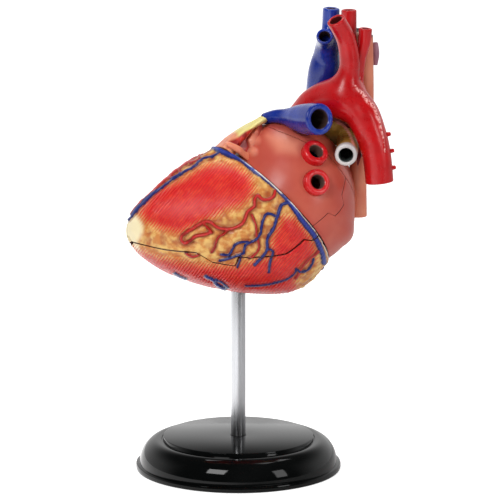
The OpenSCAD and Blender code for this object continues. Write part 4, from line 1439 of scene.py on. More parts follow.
    def posts(self, side: int) -> list:
        """The two posts with their pins on one outer wall.

        Args:
            side: -1 for the left wall, 1 for the right.

        Returns:
            The posts.
        """
        out = []
        for k, (s, f) in enumerate(((1.6, 0.12), (4.2, 0.45))):
            p = self.septum_point(s, f)
            start = p + [0, side * (self.septum_t / 2 + self.post_gap), 0]
            reach = 4.0
            while reach < 40 and self.clear(start + [0, side * (reach + 0.8), 0]):
                reach += 0.5
            r, q, pin = self.post_d / 2, self.pin_d / 2, self.pin_l + self.post_gap
            post = lathed(f"post_{side}_{k}", [
                (0, -pin), (q - 0.3, -pin), (q, -pin + 0.3), (q, -0.25), (q + 0.25, 0), (r - 0.3, 0), (r, 0.3),
                (r, reach), (0, reach)], 32)
            out.append(turned_to(post, to_part(start), side * RIGHT))
        return out

    def clear(self, p: Array) -> bool:
        """True while a point of the heart's frame is well inside the ventricles."""
        s = np.linspace(0, self.end, 140)
        a = np.linspace(0, 355, 72)
        grid_s, grid_a = (g.ravel() for g in np.meshgrid(s, a, indexing="ij"))
        skin = VENTRICLES.skin(grid_s, grid_a)
        d = np.linalg.norm(skin - p, axis=1)
        i = int(d.argmin())
        n = VENTRICLES.outward(grid_s[i:i + 1], grid_a[i:i + 1])[0]
        return float((skin[i] - p) @ n) > self.wall / 2

    def build(self) -> None:
        """Makes the three walls."""
        left = self.panel("left_ventricle", lambda s: s * 0, lambda s: seam_at(LEFT_SEAM, s), 168, 190)
        left = joined(walled(SHELF.dress(left, Paint.HEART, Paint.INNER), self.wall), self.dressed_posts(-1))
        hand_in(smoothed(left, 50), "left_ventricle", ["left_ventricle_wall"])
        right = self.panel("right_ventricle", lambda s: seam_at(RIGHT_SEAM, s), lambda s: s * 0 + 360, 130, 160)
        right = joined(walled(SHELF.dress(right, Paint.HEART, Paint.INNER), self.wall), self.dressed_posts(1))
        hand_in(smoothed(right, 50), "right_ventricle", ["right_ventricle_wall"])
        under = self.panel("inferior_heart_wall", lambda s: seam_at(LEFT_SEAM, s),
                           lambda s: seam_at(RIGHT_SEAM, s), 140, 180)
        opened(under, np.array([0, 0, 81.0]), np.array([0, 0, 1.0]), self.rod_hole)
        walled(SHELF.dress(under, Paint.HEART, Paint.INNER), self.wall)
        boss = lathed("rod_boss", [
            (3.25, 1.4), (3.9, 1.1), (4.3, 1.6), (5.85, 4.2), (5.85, 16.3), (5.5, 16.6), (0, 16.6), (0, 14.2),
            (3.25, 14.2), (3.25, 1.4)], 48)
        SHELF.dress(boss, Paint.RIM)
        turned_to(boss, [0, 0, HEART_Z], [0, 0, 1])
        hand_in(smoothed(joined(under, [boss]), 50), "heart_core", ["inferior_wall"])

    def dressed_posts(self, side: int) -> list:
        """Posts with the inner wall's finish."""
        return [SHELF.dress(p, Paint.INNER) for p in self.posts(side)]


# ---------------------------------------------------------------- atria


@dataclass
class Atria:
    """The atria's walls, roof, auricles and vein stubs."""

    wall: float = 2.0
    start: float = SEAM / ROW_H
    end: float = 7.0
    vein_d: float = 11.4
    vein_bore: float = 6.0
    vein_out: float = 3.0
    upper_vein: tuple = (2.9, 75.2)
    lower_vein: tuple = (1.75, 89.3)
    right_veins: tuple = ((2.9, 214.0), (1.7, 208.0))
    cava_inlet: tuple = (1.1, 232.0)
    cava_d: float = 12.0
    cava_out: float = 6.0

    def spot(self, at: tuple) -> tuple:
        """A point on the atria and its direction out, in the part's frame."""
        s, a = np.array([at[0]]), np.array([at[1]])
        n = ATRIA.outward(s, a)[0]
        return to_part(ATRIA.skin(s, a))[0], n[0] * CHORD + n[1] * RIGHT + n[2] * LENGTH

    def sheet(self, name: str, low: Callable, high: Callable, cols: int, rows: int,
              roof: bool = False) -> bpy.types.Object:
        """A wall between two seams and the roof's edge, or the roof itself.

        Args:
            name: The new object's name.
            low: The first seam's angle.
            high: The second seam's angle.
            cols: Faces across.
            rows: Faces along.
            roof: True for the part above the edge.

        Returns:
            The open sheet.
        """
        store: dict = {}

        def place(u: Array, w: Array) -> Array:
            """Lays the sheet on the atria."""
            if roof:
                a = 360 * w
                first = roof_start(a) + 0.12 / ROW_H
                s = first + (self.end - 0.02 - first) * u
                from_edge = (s - first) * ROW_H + 0.2
            else:
                s = self.start + (3.8 - self.start) * u
                half = np.degrees(np.arcsin(SEAM / 2 / through(ATRIA.rows, s)[:, 4]))
                lo, hi = low(s) + half, high(s) - half
                a = lo + (hi - lo) * w
                last = roof_start(a) - SEAM / 2 / ROW_H
                s = self.start + (last - self.start) * u
                from_edge = np.minimum(np.minimum(a - lo, hi - a) * 0.5, (last - s) * ROW_H)
                from_edge = np.minimum(from_edge + 0.1, (s - self.start) * ROW_H * 0.8)
            sheet = Sheet(ATRIA, s, a)
            # glow carries the painted highlights.
            glow, blush, height = self.relief(sheet)
            height = height - 0.12 * smooth(0.4, 0.0, from_edge) ** 2
            store.update(glow=glow, blush=blush, edge=from_edge, outward=sheet.normals)
            return (sheet.points + height[:, None] * sheet.normals) * MM

        obj, _, _ = laid_grid(name, cols, rows, place)
        faces_away(obj, store.pop("outward"))
        for key, values in store.items():
            put_attribute(obj, key, values)
        return obj

    def relief(self, sheet: Sheet) -> tuple:
        """Painted highlights and red parts of the atria's paint, and how high the surface swells."""
        p = sheet.seen
        near = smooth(-0.3, 0.1, sheet.turned)
        height = 0.25 * Grain(5).at(sheet.points, 13.0)
        # Two raised scallops on the front margin, with painted highlights on them, and a red hollow beside them.
        glow = np.zeros(len(sheet.s))
        for x, y, r in ((254.0, 139.5, 7.5), (252.5, 151.5, 6.0), (258.0, 130.5, 5.0)):
            d = np.hypot(p[:, 0] - x, p[:, 1] - y) / r
            height += 1.0 * smooth(1.25, 0.2, d) * near
            glow = np.maximum(glow, 0.7 * smooth(1.25, 0.2, d) * near)
        hollow = inside_of(p, np.array(HOLLOW))
        blush = smooth(-1.0, 0.8, hollow) * near
        height -= 0.9 * blush
        # A broad painted highlight on the atrium's upper swell.
        pale = inside_of(p, np.array([(268, 136), (285, 134), (300, 142), (296, 152), (278, 150)]))
        glow = np.maximum(glow, 0.55 * smooth(-9.0, 6.0, pale) * near)
        low_red = smooth(3.0, 0.6, sheet.s * ROW_H) * 0.35
        swell = np.hypot(p[:, 0] - 349, p[:, 1] - 236) / 13.0
        height += 1.0 * smooth(1.2, 0.1, swell) * near
        return glow, np.maximum(blush, low_red), height

    def stub(self, name: str, at: tuple, d: float, bore: float, out: float) -> bpy.types.Object:
        """A short cut vessel with a rounded lip.

        Args:
            name: The new object's name.
            at: Its section and angle on the atria.
            d: Its outer size.
            bore: Its bore.
            out: How far it stands out.

        Returns:
            The stub.
        """
        r, q = d / 2, bore / 2
        base = -self.wall - 0.6
        profile = [(q, base), (r - 0.2, base), (r, base + 0.2), (r, 0.4)]
        profile += [((r + q) / 2 + (r - q) / 2 * math.cos(t), out - 1.1 + 1.1 * math.sin(t))
                    for t in np.linspace(0, math.pi, 15)]
        profile += [(q, out - 2.0), (q, base)]
        obj = lathed(name, profile, 64)
        co = corners(obj) / MM
        radial = np.hypot(co[:, 0], co[:, 1])
        put_attribute(obj, "bore", smooth(q + 0.42, q + 0.12, radial) * smooth(out + 0.2, out - 0.8, co[:, 2]))
        point, axis = self.spot(at)
        return turned_to(obj, point, axis)

    def lobe(self, name: str, s0: float, s1: float, a0: float, a1: float, swell: float, scallops: int
             ) -> bpy.types.Object:
        """An auricle that lies on the atria.

        Args:
            name: The new object's name.
            s0: The lowest section.
            s1: The highest section.
            a0: The first angle.
            a1: The last angle.
            swell: How thick its middle is.
            scallops: How many notches its edge has.

        Returns:
            The closed lobe.
        """
        def place(u: Array, w: Array) -> Array:
            """The upper skin for the first half, the underside for the rest."""
            top = u <= 0.5
            v = np.where(top, u * 2, (1 - u) * 2)
            ripple = 1 + 0.10 * np.cos(2 * math.pi * scallops * w)
            s = s0 + (s1 - s0) * (0.5 + (v - 0.5) * ripple)
            a = a0 + (a1 - a0) * w
            full = np.clip(np.sin(math.pi * v) * np.sin(math.pi * w), 0, 1) ** 0.55
            sheet = Sheet(ATRIA, s, a)
            creases = 0.82 + 0.18 * np.cos(2 * math.pi * scallops * w)
            lift = np.where(top, 0.55 + swell * full * creases, 0.2)
            lift += np.where(top, 0.25, 0.0) * Grain(12).at(sheet.points, 2.2) * full
            return (sheet.points + lift[:, None] * sheet.normals) * MM

        obj, _, _ = laid_grid(name, 64, 96, place)
        return smoothed(welded(obj, 4e-5), 70)

    def build(self) -> None:
        """Makes all that belongs to the atria."""
        left = self.sheet("left_atrium", lambda s: s * 0, lambda s: seam_at(LEFT_ATRIUM_SEAM, s), 150, 110)
        for at in (self.upper_vein, self.lower_vein):
            opened(left, *self.spot(at), self.vein_d / 2 + 0.05)
        walled(SHELF.dress(left, Paint.ATRIUM, Paint.INNER), self.wall)
        left = joined(left, self.posts(-1))
        hand_in(smoothed(left, 50), "left_atrium", ["left_atrium_wall"])
        right = self.sheet("right_atrium", lambda s: seam_at(RIGHT_ATRIUM_SEAM, s), lambda s: s * 0 + 360, 110, 80)
        walled(SHELF.dress(right, Paint.ATRIUM, Paint.INNER), self.wall)
        hand_in(smoothed(joined(right, self.posts(1)), 50), "right_atrium", ["right_atrium_wall"])
        back = self.sheet("atrial_back", lambda s: seam_at(LEFT_ATRIUM_SEAM, s),
                          lambda s: seam_at(RIGHT_ATRIUM_SEAM, s), 130, 90)
        for at in self.right_veins:
            opened(back, *self.spot(at), self.vein_d / 2 + 0.05)
        opened(back, *self.spot(self.cava_inlet), self.cava_d / 2 + 0.05)
        walled(SHELF.dress(back, Paint.ATRIUM, Paint.INNER), self.wall)
        hand_in(smoothed(back, 50), "heart_core", ["atrial_back_wall"])
        roof = self.sheet("atria_roof", lambda s: s, lambda s: s, 260, 130, roof=True)
        vessels = GreatVessels()
        route = {k: lifted(v) for k, v in vessels.routes().items()}
        cleared(roof, [Core.of(route["aorta"], vessels.aorta_r), Core.of(route["cava"], vessels.cava_r)], 0.9)
        cleared(roof, [Core.of(route["pulmonary"], vessels.pulmonary_r), Core.of(route["right_pulmonary"], 3.2),
                       Core.of(route["windpipe"], vessels.windpipe_r)], 0.5)
        opened(roof, *self.spot(self.upper_vein), self.vein_d / 2 + 0.4)
        make_active(roof)
        bpy.ops.object.mode_set(mode="EDIT")
        bpy.ops.mesh.select_all(action="SELECT")
        bpy.ops.mesh.remove_doubles(threshold=1e-5)
        bpy.ops.object.mode_set(mode="OBJECT")
        walled(SHELF.dress(roof, Paint.ATRIUM, Paint.INNER), self.wall)
        hand_in(smoothed(roof, 50), "great_vessels", ["atrial_roof"])
        for name, at in (("left_upper_pulmonary_vein", self.upper_vein), ("left_lower_pulmonary_vein",
                self.lower_vein)):
            ring = SHELF.dress(self.stub(name + "_ring", at, self.vein_d, self.vein_bore, self.vein_out), Paint.STUB)
            hand_in(ring, "left_atrium", [name])
        pair = [self.stub(f"right_vein_{k}", at, self.vein_d, self.vein_bore, 1.5 * self.vein_out)
                for k, at in enumerate(self.right_veins)]
        rings = SHELF.dress(joined(pair[0], pair[1:]), Paint.STUB)
        hand_in(named(rings, "right_pulmonary_rings"), "heart_core", ["right_pulmonary_veins"])
        inlet = self.stub("inferior_cava_stub", self.cava_inlet, self.cava_d, self.cava_d - 3.6, self.cava_out)
        hand_in(SHELF.dress(inlet, Paint.VEIN), "heart_core", ["inferior_vena_cava"])
        flap = SHELF.dress(self.flap(), Paint.AURICLE)
        hand_in(flap, "left_atrium", ["left_auricle"])
        hand_in(self.front(), "left_atrium", [])
        ear = SHELF.dress(self.lobe("right_auricle_ear", 0.2, 2.3, 300, 348, 4.0, 5), Paint.AURICLE)
        hand_in(ear, "right_atrium", ["right_auricle"])

    def flap(self) -> bpy.types.Object:
        """The near auricle: a small tongue over the conus, below the red hollow."""
        over = np.array([(224.5, 143.2), (228, 141.6), (235.5, 144.2), (241.8, 147.6), (245.5, 151.5), (250, 152.5),
                         (256, 158)])
        under = np.array([(225.5, 145.6), (230, 148.6), (235.0, 151.8), (240.5, 155.6), (246.0, 159.6), (252, 164),
                          (257, 167.4)])

        def place(u: Array, w: Array) -> Array:
            """The near skin for the first half, the far one for the rest."""
            near = w <= 0.5
            v = np.where(near, w * 2, (1 - w) * 2)
            at = u * (len(over) - 1)
            seen = through(over, at) * (1 - v[:, None]) + through(under, at) * v[:, None]
            round_off = np.clip(4 * v * (1 - v), 0, 1) ** 0.5 * np.clip(smooth(0, 0.12, u) * smooth(1, 0.9, u), 0, 1)
            inwards = 5.5 * smooth(0.35, 1.0, u)
            depth = -16.3 + inwards - np.where(near, 1.5 * round_off * (1 + 0.16 * np.sin(15 * u)), -0.5)
            return EYE.point_at(seen, CENTRE + depth[:, None] * RIGHT, RIGHT) * MM

        obj, _, _ = laid_grid("left_auricle_flap", 60, 48, place)
        return smoothed(welded(obj, 3e-5), 70)

    def front(self) -> bpy.types.Object:
        """The atrium's scalloped front margin, with the dark red hollow behind the flap."""
        over = np.array([(229, 142.5), (236, 139.0), (243, 134.5), (249, 130), (256, 126.5), (262, 124.5)])
        under = np.array([(232, 147), (238, 151), (243, 155), (249, 160), (257, 163), (266, 160)])
        store: dict = {}

        def place(u: Array, w: Array) -> Array:
            """Lays the margin between its two lines."""
            at = u * (len(over) - 1)
            seen = through(over, at) * (1 - w[:, None]) + through(under, at) * w[:, None]
            red = inside_of(seen, np.array(HOLLOW)) * EYE.scale
            proud = smooth(0.1, -1.3, red) * smooth(0.30, 0.5, u)
            for x, y in ((253.5, 140.5), (252.0, 152.0), (259.5, 130.5)):
                proud += 0.5 * smooth(7.0, 1.0, np.hypot(seen[:, 0] - x, seen[:, 1] - y)) * smooth(0.30, 0.5, u)
            proud *= smooth(1.0, 0.8, u) * smooth(1.0, 0.85, w)
            depth = -12.4 + 2.4 * u - 3.4 * smooth(0.55, 1.0, u) * w - 1.5 * proud
            # Painted highlight on the raised scallops of the margin.
            glow = 0.55 * proud * smooth(1.0, 0.6, u) * smooth(0.9, 0.6, w)
            store.update(blush=smooth(-0.5, 0.3, red), glow=glow, edge=np.full(len(u), 1.0))
            return EYE.point_at(seen, CENTRE + depth[:, None] * RIGHT, RIGHT) * MM

        obj, _, _ = laid_grid("auricle_front", 90, 60, place)
        faces_away(obj, np.tile(-RIGHT, (len(obj.data.vertices), 1)))
        for key, values in store.items():
            put_attribute(obj, key, values)
        return smoothed(walled(SHELF.dress(obj, Paint.ATRIUM), 0.8), 60)

    def posts(self, side: int) -> list:
        """The atria's two posts on one side, up to the wall."""
        out = []
        for k, (x, z) in enumerate(((-6.0, 12.0), (10.0, 8.0))):
            start = np.array([x, side * (1.5 + 0.7), z])
            s = np.linspace(0.1, 3.5, 80)
            a = np.linspace(40, 140, 80) if side < 0 else np.linspace(220, 320, 80)
            grid_s, grid_a = (g.ravel() for g in np.meshgrid(s, a, indexing="ij"))
            skin = ATRIA.skin(grid_s, grid_a)
            i = int(np.hypot(skin[:, 0] - x, skin[:, 2] - z).argmin())
            reach = abs(skin[i, 1]) - 2.2 - 1.0
            post = lathed(f"atrium_post_{side}_{k}", [
                (0, -1.9), (1.2, -1.9), (1.5, -1.6), (1.5, -0.25), (1.75, 0), (2.2, 0), (2.5, 0.3),
                (2.5, reach), (0, reach)], 32)
            out.append(turned_to(SHELF.dress(post, Paint.INNER), to_part(start), side * RIGHT))
        return out


# ---------------------------------------------------------------- great vessels


def lifted(rows: Sequence[Sequence[float]]) -> list:
    """Rows of a centre line, carried up from the heart's underside to the part's frame."""
    return [(x, y, z + HEART_Z, share) for x, y, z, share in rows]


@dataclass
class GreatVessels:
    """The arch and its branches, the blue vessels, the windpipe and the gullet."""

    aorta_r: float = 6.4
    right_pulmonary_r: float = 3.2
    left_brachiocephalic_r: float = 3.6
    azygos_r: float = 1.6
    vein_join: float = 3.5
    branches: tuple = (("brachiocephalic", "brachiocephalic_artery", 4.1, 6.5),
                       ("carotid", "left_carotid_artery", 3.3, 3.0),
                       ("subclavian", "left_subclavian_artery", 2.7, 3.0))
    pulmonary_r: float = 6.8
    cava_r: float = 6.5
    windpipe_r: float = 4.0
    oesophagus_r: float = 3.5
    wall: float = 1.8
    thin_wall: float = 1.1

    def root(self, x: float, y: float, z: float) -> tuple:
        """A point of the heart's frame, as a row above the heart's underside."""
        p = to_part(np.array([x, y, z])) - [0, 0, HEART_Z]
        return float(p[0]), float(p[1]), float(p[2])

    def routes(self) -> dict:
        """Each vessel's centre line."""
        return {
            "aorta": [(*self.root(-15, 3, 0.7), 1), (*self.root(-16, 4, 14), 1), (18.5, 11.0, 66.5, 1.02),
                      (27.0, 10.2, 74.4, 1.04), (34.4, 7.0, 81.8, 1.22), (44.0, 2.0, 85.2, 1.32),
                      (52.2, -3.0, 80.6, 1.2), (57.0, -6.2, 71.5, 1.06), (59.8, -7.6, 61.5, 0.97),
                      (60.9, -8.0, 50.3, 0.95)],
            "brachiocephalic": [(44.6, -1.0, 85.0, 1.35), (46.7, -1.6, 92.5, 1.2), (48.0, -2.0, 101.0, 1.06),
                                (46.4, -2.5, 111.3, 1), (42.0, -6.0, 120.2, 0.98)],
            "carotid": [(46.2, 6.0, 86.0, 1.05), (47.8, 8.6, 94.0, 1), (48.0, 9.8, 103.0, 1),
                        (47.9, 10.0, 122.0, 1)],
            "subclavian": [(51.6, -1.0, 84.0, 1.1), (51.6, 3.6, 93.0, 1.02), (52.5, 3.7, 102.0, 1),
                           (54.4, 3.1, 109.0, 1), (54.9, 3.0, 115.0, 1.08)],
            "pulmonary": [(*self.root(-28.6, -7, 24.2), 0.36), (15.8, 0.0, 77.4, 0.42), (20.8, -3.2, 77.8, 0.54),
                          (26.0, -7.8, 78.0, 0.85), (30.5, -13.2, 78.6, 1), (34.6, -20.0, 79.8, 1)],
            "right_pulmonary": [(29.0, -4.6, 76.6, 1), (33.0, 0.5, 74.6, 1), (37.9, 8.4, 70.8, 1),
                                (43.5, 15.6, 66.4, 1), (50.0, 23.0, 64.8, 1)],
            "cava": [(33.0, 22.5, 55.0, 0.95), (35.0, 22.5, 66.0, 1), (36.4, 22.0, 76.0, 1.04),
                     (36.8, 21.6, 86.0, 1.09), (37.6, 20.6, 95.0, 1.04), (38.8, 19.0, 103.5, 0.8),
                     (39.9, 17.5, 111.0, 0.6), (40.4, 17.0, 121.5, 0.56)],
            "left_brachiocephalic": [(38.3, 16.6, 104.2, 1.05), (37.6, 13.0, 108.0, 1), (37.4, 7.5, 111.1, 1)],
            "windpipe": [(50.6, 18.0, 112.0, 1), (50.4, 17.8, 100.0, 1), (50.0, 16.8, 87.0, 1),
                         (48.4, 14.2, 75.5, 1.05), (47.5, 6.4, 67.7, 1.08), (47.1, -4.0, 64.4, 1.16),
                         (46.3, -16.5, 63.6, 1.2)],
            "right_bronchus": [(51.0, 17.4, 75.6, 1), (52.6, 20.8, 74.8, 1), (54.8, 28.0, 73.0, 1)],
            "oesophagus": [(55.1, 10.6, 110.9, 0.95), (55.4, 10.4, 84.0, 1), (54.7, 10.4, 70.0, 1),
                           (52.3, 9.0, 56.0, 1.08), (52.1, 8.0, 32.2, 1.16)],
            "azygos": [(59.5, 14.0, 107.0, 0.8), (59.7, 14.1, 102.5, 1), (59.5, 13.7, 98.0, 0.7)],
        }

    def build(self) -> None:
        """Makes every great vessel."""
        route = {k: lifted(v) for k, v in self.routes().items()}
        self.arch(route)
        for name, node, r, soft in self.branches:
            obj = tube(name + "_branch", route[name], r, self.thin_wall, rings=100, sides=56, lip=0.45, mouth_wall=1.3)
            melted(obj, Core.of(route[name], r), [Core.of(route["aorta"], self.aorta_r)], soft)
            hand_in(SHELF.dress(obj, Paint.ARTERY), "great_vessels", [node])
        trunk = tube("pulmonary_trunk_blue", route["pulmonary"], self.pulmonary_r, self.thin_wall, rings=90, sides=56,
                     mouth_wall=2.6, lip=1.1)
        hand_in(SHELF.dress(trunk, Paint.VEIN), "great_vessels", ["pulmonary_trunk"])
        right = tube("right_pulmonary_blue", route["right_pulmonary"], self.right_pulmonary_r, self.thin_wall, rings=50)
        hand_in(SHELF.dress(right, Paint.VEIN), "great_vessels", ["right_pulmonary_artery"])
        cava = tube("superior_cava_blue", route["cava"], self.cava_r, self.wall, rings=110, sides=60, lip=0.6)
        cores = Core.of(route["cava"], self.cava_r), Core.of(route["left_brachiocephalic"], self.left_brachiocephalic_r)
        melted(cava, cores[0], cores[1:], self.vein_join)
        hand_in(SHELF.dress(cava, Paint.VEIN), "great_vessels", ["superior_vena_cava"])
        branch = tube("left_brachiocephalic_blue", route["left_brachiocephalic"], self.left_brachiocephalic_r,
                self.thin_wall, rings=50,
                      lip=0.5, mouth_wall=1.2)
        melted(branch, cores[1], cores[:1], self.vein_join)
        hand_in(SHELF.dress(branch, Paint.VEIN), "great_vessels", ["left_brachiocephalic_vein"])
        self.airway(route)
        self.web()
        gullet = tube("gullet", route["oesophagus"], self.oesophagus_r, self.wall, rings=70, sides=36)
        hand_in(SHELF.dress(gullet, Paint.GULLET), "great_vessels", ["oesophagus"])
        azygos = tube("azygos_stub", route["azygos"], self.azygos_r, 0.7, rings=24, sides=24, lip=0.5)
        hand_in(SHELF.dress(azygos, Paint.MAUVE), "great_vessels", ["azygos_vein"])

    def arch(self, route: dict) -> None:
        """The aorta's arch with the raised ridge of its moulding seam, painted pale pink along it as a painted
        highlight, and the small stubs behind it.
        """
        table = np.array(route["aorta"], float)
        # The ridge of the moulding seam, drawn in the picture; its pale paint is a painted highlight.
        mould = ((349.6, 80), (354, 84.5), (358, 90), (363.5, 95), (367, 101), (372, 105.5), (375.5, 112), (379, 121),
                 (381.5, 131), (383.5, 141), (385, 152))

        def shape(t: Array, angle: Array, points: Array) -> Array:
            """The arch's radius, with slight unevenness."""
            share = through(table, np.clip(t, 0, 1) * (len(table) - 1))[:, 3]
            uneven = 0.07 * np.sin(3 * angle + 9 * t) + 0.05 * np.sin(5 * angle - 23 * t)
            return self.aorta_r * share + uneven

        arch = tube("arch_of_aorta", route["aorta"], self.aorta_r, self.wall, rings=240, sides=110, shape=shape,
                    mouth_wall=2.2, lip=0.5)
        own = Core.of(route["aorta"], self.aorta_r)
        for name, _node, r, soft in self.branches:
            melted(arch, own, [Core.of(route[name], r)], soft)
        co = corners(arch) / MM
        seen = EYE.picture_of(co)
        d = away_from(seen, wavy(mould)) * EYE.scale
        normals = np.empty(len(co) * 3, np.float32)
        arch.data.vertices.foreach_get("normal", normals)
        normals = normals.reshape(-1, 3)
        broken = Grain(31).at(co, 1.9)
        taper = smooth(160, 100, seen[:, 1]) * 0.6 + 0.4
        ridge = smooth(1.0, 0.3, d / taper + 0.55 * broken) * (EYE.facing(normals) > -0.1) * smooth(78, 82, seen[:, 1])
        put_corners(arch, (co + (0.45 * ridge * (0.8 + 0.4 * broken))[:, None] * normals) * MM)
        put_attribute(arch, "mould", ridge)
        m = PlainPaint("arch_red", (198, 10, 18), (180, 6, 14), 0.30, 0.15, bore=(96, 18, 20)).make()
        tree = m.node_tree
        base = tree.nodes["Principled BSDF"].inputs["Base Color"]
        before = base.links[0].from_socket
        mark = tree.nodes.new("ShaderNodeAttribute")
        mark.attribute_name = "mould"
        mix = tree.nodes.new("ShaderNodeMix")
        mix.data_type = "RGBA"
        speckle = tree.nodes.new("ShaderNodeTexNoise")
        speckle.inputs["Scale"].default_value = 1100
        sharp = tree.nodes.new("ShaderNodeMapRange")
        sharp.inputs["From Min"].default_value = 0.42
        sharp.inputs["From Max"].default_value = 0.56
        both = tree.nodes.new("ShaderNodeMath")
        both.operation = "MULTIPLY"
        coords = tree.nodes.new("ShaderNodeTexCoord")
        tree.links.new(coords.outputs["Object"], speckle.inputs["Vector"])
        tree.links.new(speckle.outputs["Fac"], sharp.inputs["Value"])
        tree.links.new(sharp.outputs["Result"], both.inputs[0])
        tree.links.new(mark.outputs["Fac"], both.inputs[1])
        tree.links.new(both.outputs[0], mix.inputs[0])
        tree.links.new(before, mix.inputs[6])
        # Painted highlight: pale pink speckles along the raised ridge, on the side that faces the eye.
        mix.inputs[7].default_value = shade(255, 186, 180)
        tree.links.new(mix.outputs[2], base)
        arch.data.materials.clear()
        arch.data.materials.append(m)
        hand_in(arch, "great_vessels", ["aortic_arch"])
        stubs = []
        for k, s in enumerate((7.2, 7.9, 8.5)):
            p = through(table, np.array([s]))[0]
            r = self.aorta_r * p[3]
            out = lathed(f"rib_stub_{k}", [(0, r - 1), (1.2, r - 1), (1.0, r + 0.2), (0.85, r + 1.3), (0.55, r + 1.6),
                                           (0, r + 1.65)], 24)
            stubs.append(turned_to(out, p[:3], [math.sin(math.radians(80)), 0, math.cos(math.radians(80))]))
        ribs = named(SHELF.dress(joined(stubs[0], stubs[1:]), Paint.ARTERY), "rib_artery_nubs")
        put_attribute(ribs, "bore", np.zeros(len(ribs.data.vertices)))
        hand_in(ribs, "great_vessels", ["rib_artery_stubs"])

    def airway(self, route: dict) -> None:
        """The windpipe with its rings, the left bronchus's grey mouth, and the right bronchus."""
        table = np.array(route["windpipe"], float)

        def ringed(t: Array, _angle: Array, _points: Array) -> Array:
            """A radius with the rings of gristle."""
            share = through(table, np.clip(t, 0, 1) * (len(table) - 1))[:, 3]
            return self.windpipe_r * share + 0.16 * np.sin(t * 2 * math.pi * 26) * smooth(0.97, 0.85, t)

        pipe = tube("windpipe", route["windpipe"], self.windpipe_r, self.thin_wall, rings=240, sides=44, shape=ringed,
                    mouth_wall=1.75, lip=0.8)
        # The painted highlight line along the bronchus's lit edge, in the picture.
        arc = np.array([(337, 122.5), (345, 127), (351, 137), (354.5, 149), (355.5, 160)])
        self.marked(pipe, arc)
        hand_in(SHELF.dress(pipe, Paint.BRONCHUS), "great_vessels", ["trachea"])
        right = tube("right_bronchus_pipe", route["right_bronchus"], self.windpipe_r, self.thin_wall, rings=50)
        self.marked(right, arc)
        hand_in(SHELF.dress(right, Paint.BRONCHUS), "great_vessels", ["right_bronchus"])


    def marked(self, pipe: bpy.types.Object, arc: Array) -> None:
        """Stores how far in and how high up the windpipe's paint lies, and its painted highlight line.

        Args:
            pipe: The windpipe or bronchus.
            arc: The pale line's points in the picture.
        """
        co = corners(pipe) / MM
        put_attribute(pipe, "deep", smooth(-14.2, -12.2, co[:, 1]))
        put_attribute(pipe, "high", np.maximum(smooth(70.0, 80.0, co[:, 2] - HEART_Z), smooth(17.0, 21.0, co[:, 1])))
        line = away_from(EYE.picture_of(co), wavy(arc)) * EYE.scale
        put_attribute(pipe, "arc", smooth(0.8, 0.3, line) * smooth(10.0, 6.0, co[:, 1]) * smooth(-14.5, -12.5, co[:,
                1]))

    def web(self) -> None:
        """A dark sheet that stands in for the shadow under the arch, closing the view between the arch, the windpipe
        and the blue trunk.
        """
        over = np.array([(326, 103), (336, 104), (346, 108), (355, 115), (361, 128), (363, 150)])
        under = np.array([(318, 137), (328, 141), (337, 146), (346, 150), (353, 156), (358, 166)])
        # The painted highlight line along the bronchus's lit edge, in the picture.
        arc = wavy(((324, 119), (337, 122.5), (345, 127), (351, 137), (354.5, 149), (355.5, 162)))
        # Outline of the windpipe's painted shade, below the painted highlight line.
        olive = np.array([*arc, (330, 160), (314, 140)])
        store: dict = {}

        def place(u: Array, w: Array) -> Array:
            """Lays the sheet between its two lines."""
            at = u * (len(over) - 1)
            seen = through(over, at) * (1 - w[:, None]) + through(under, at) * w[:, None]
            depth = 3.6 + 1.2 * w + 0.5 * Grain(40).at(np.stack([seen[:, 0], seen[:, 1], seen[:, 0] * 0], -1), 6.0)
            across = np.array([0.0, 1.0, 0.0])
            store.update(olive=smooth(-0.3, 0.3, inside_of(seen, olive) * EYE.scale),
                         arc=smooth(0.75, 0.3, away_from(seen, arc) * EYE.scale) * smooth(334, 339, seen[:, 0]))
            return EYE.point_at(seen, depth[:, None] * across, across) * MM

        obj, _, _ = laid_grid("web_under_arch", 90, 60, place)
        faces_away(obj, np.tile([0.0, -1.0, 0.0], (len(obj.data.vertices), 1)))
        for key, values in store.items():
            put_attribute(obj, key, values)
        SHELF.dress(obj, Paint.WEB)
        mod = obj.modifiers.new("wall", "SOLIDIFY")
        mod.thickness = 1.2 * MM
        mod.offset = -1
        make_active(obj)
        bpy.ops.object.modifier_apply(modifier=mod.name)
        hand_in(smoothed(obj, 50), "great_vessels", [])


# ---------------------------------------------------------------- the rest


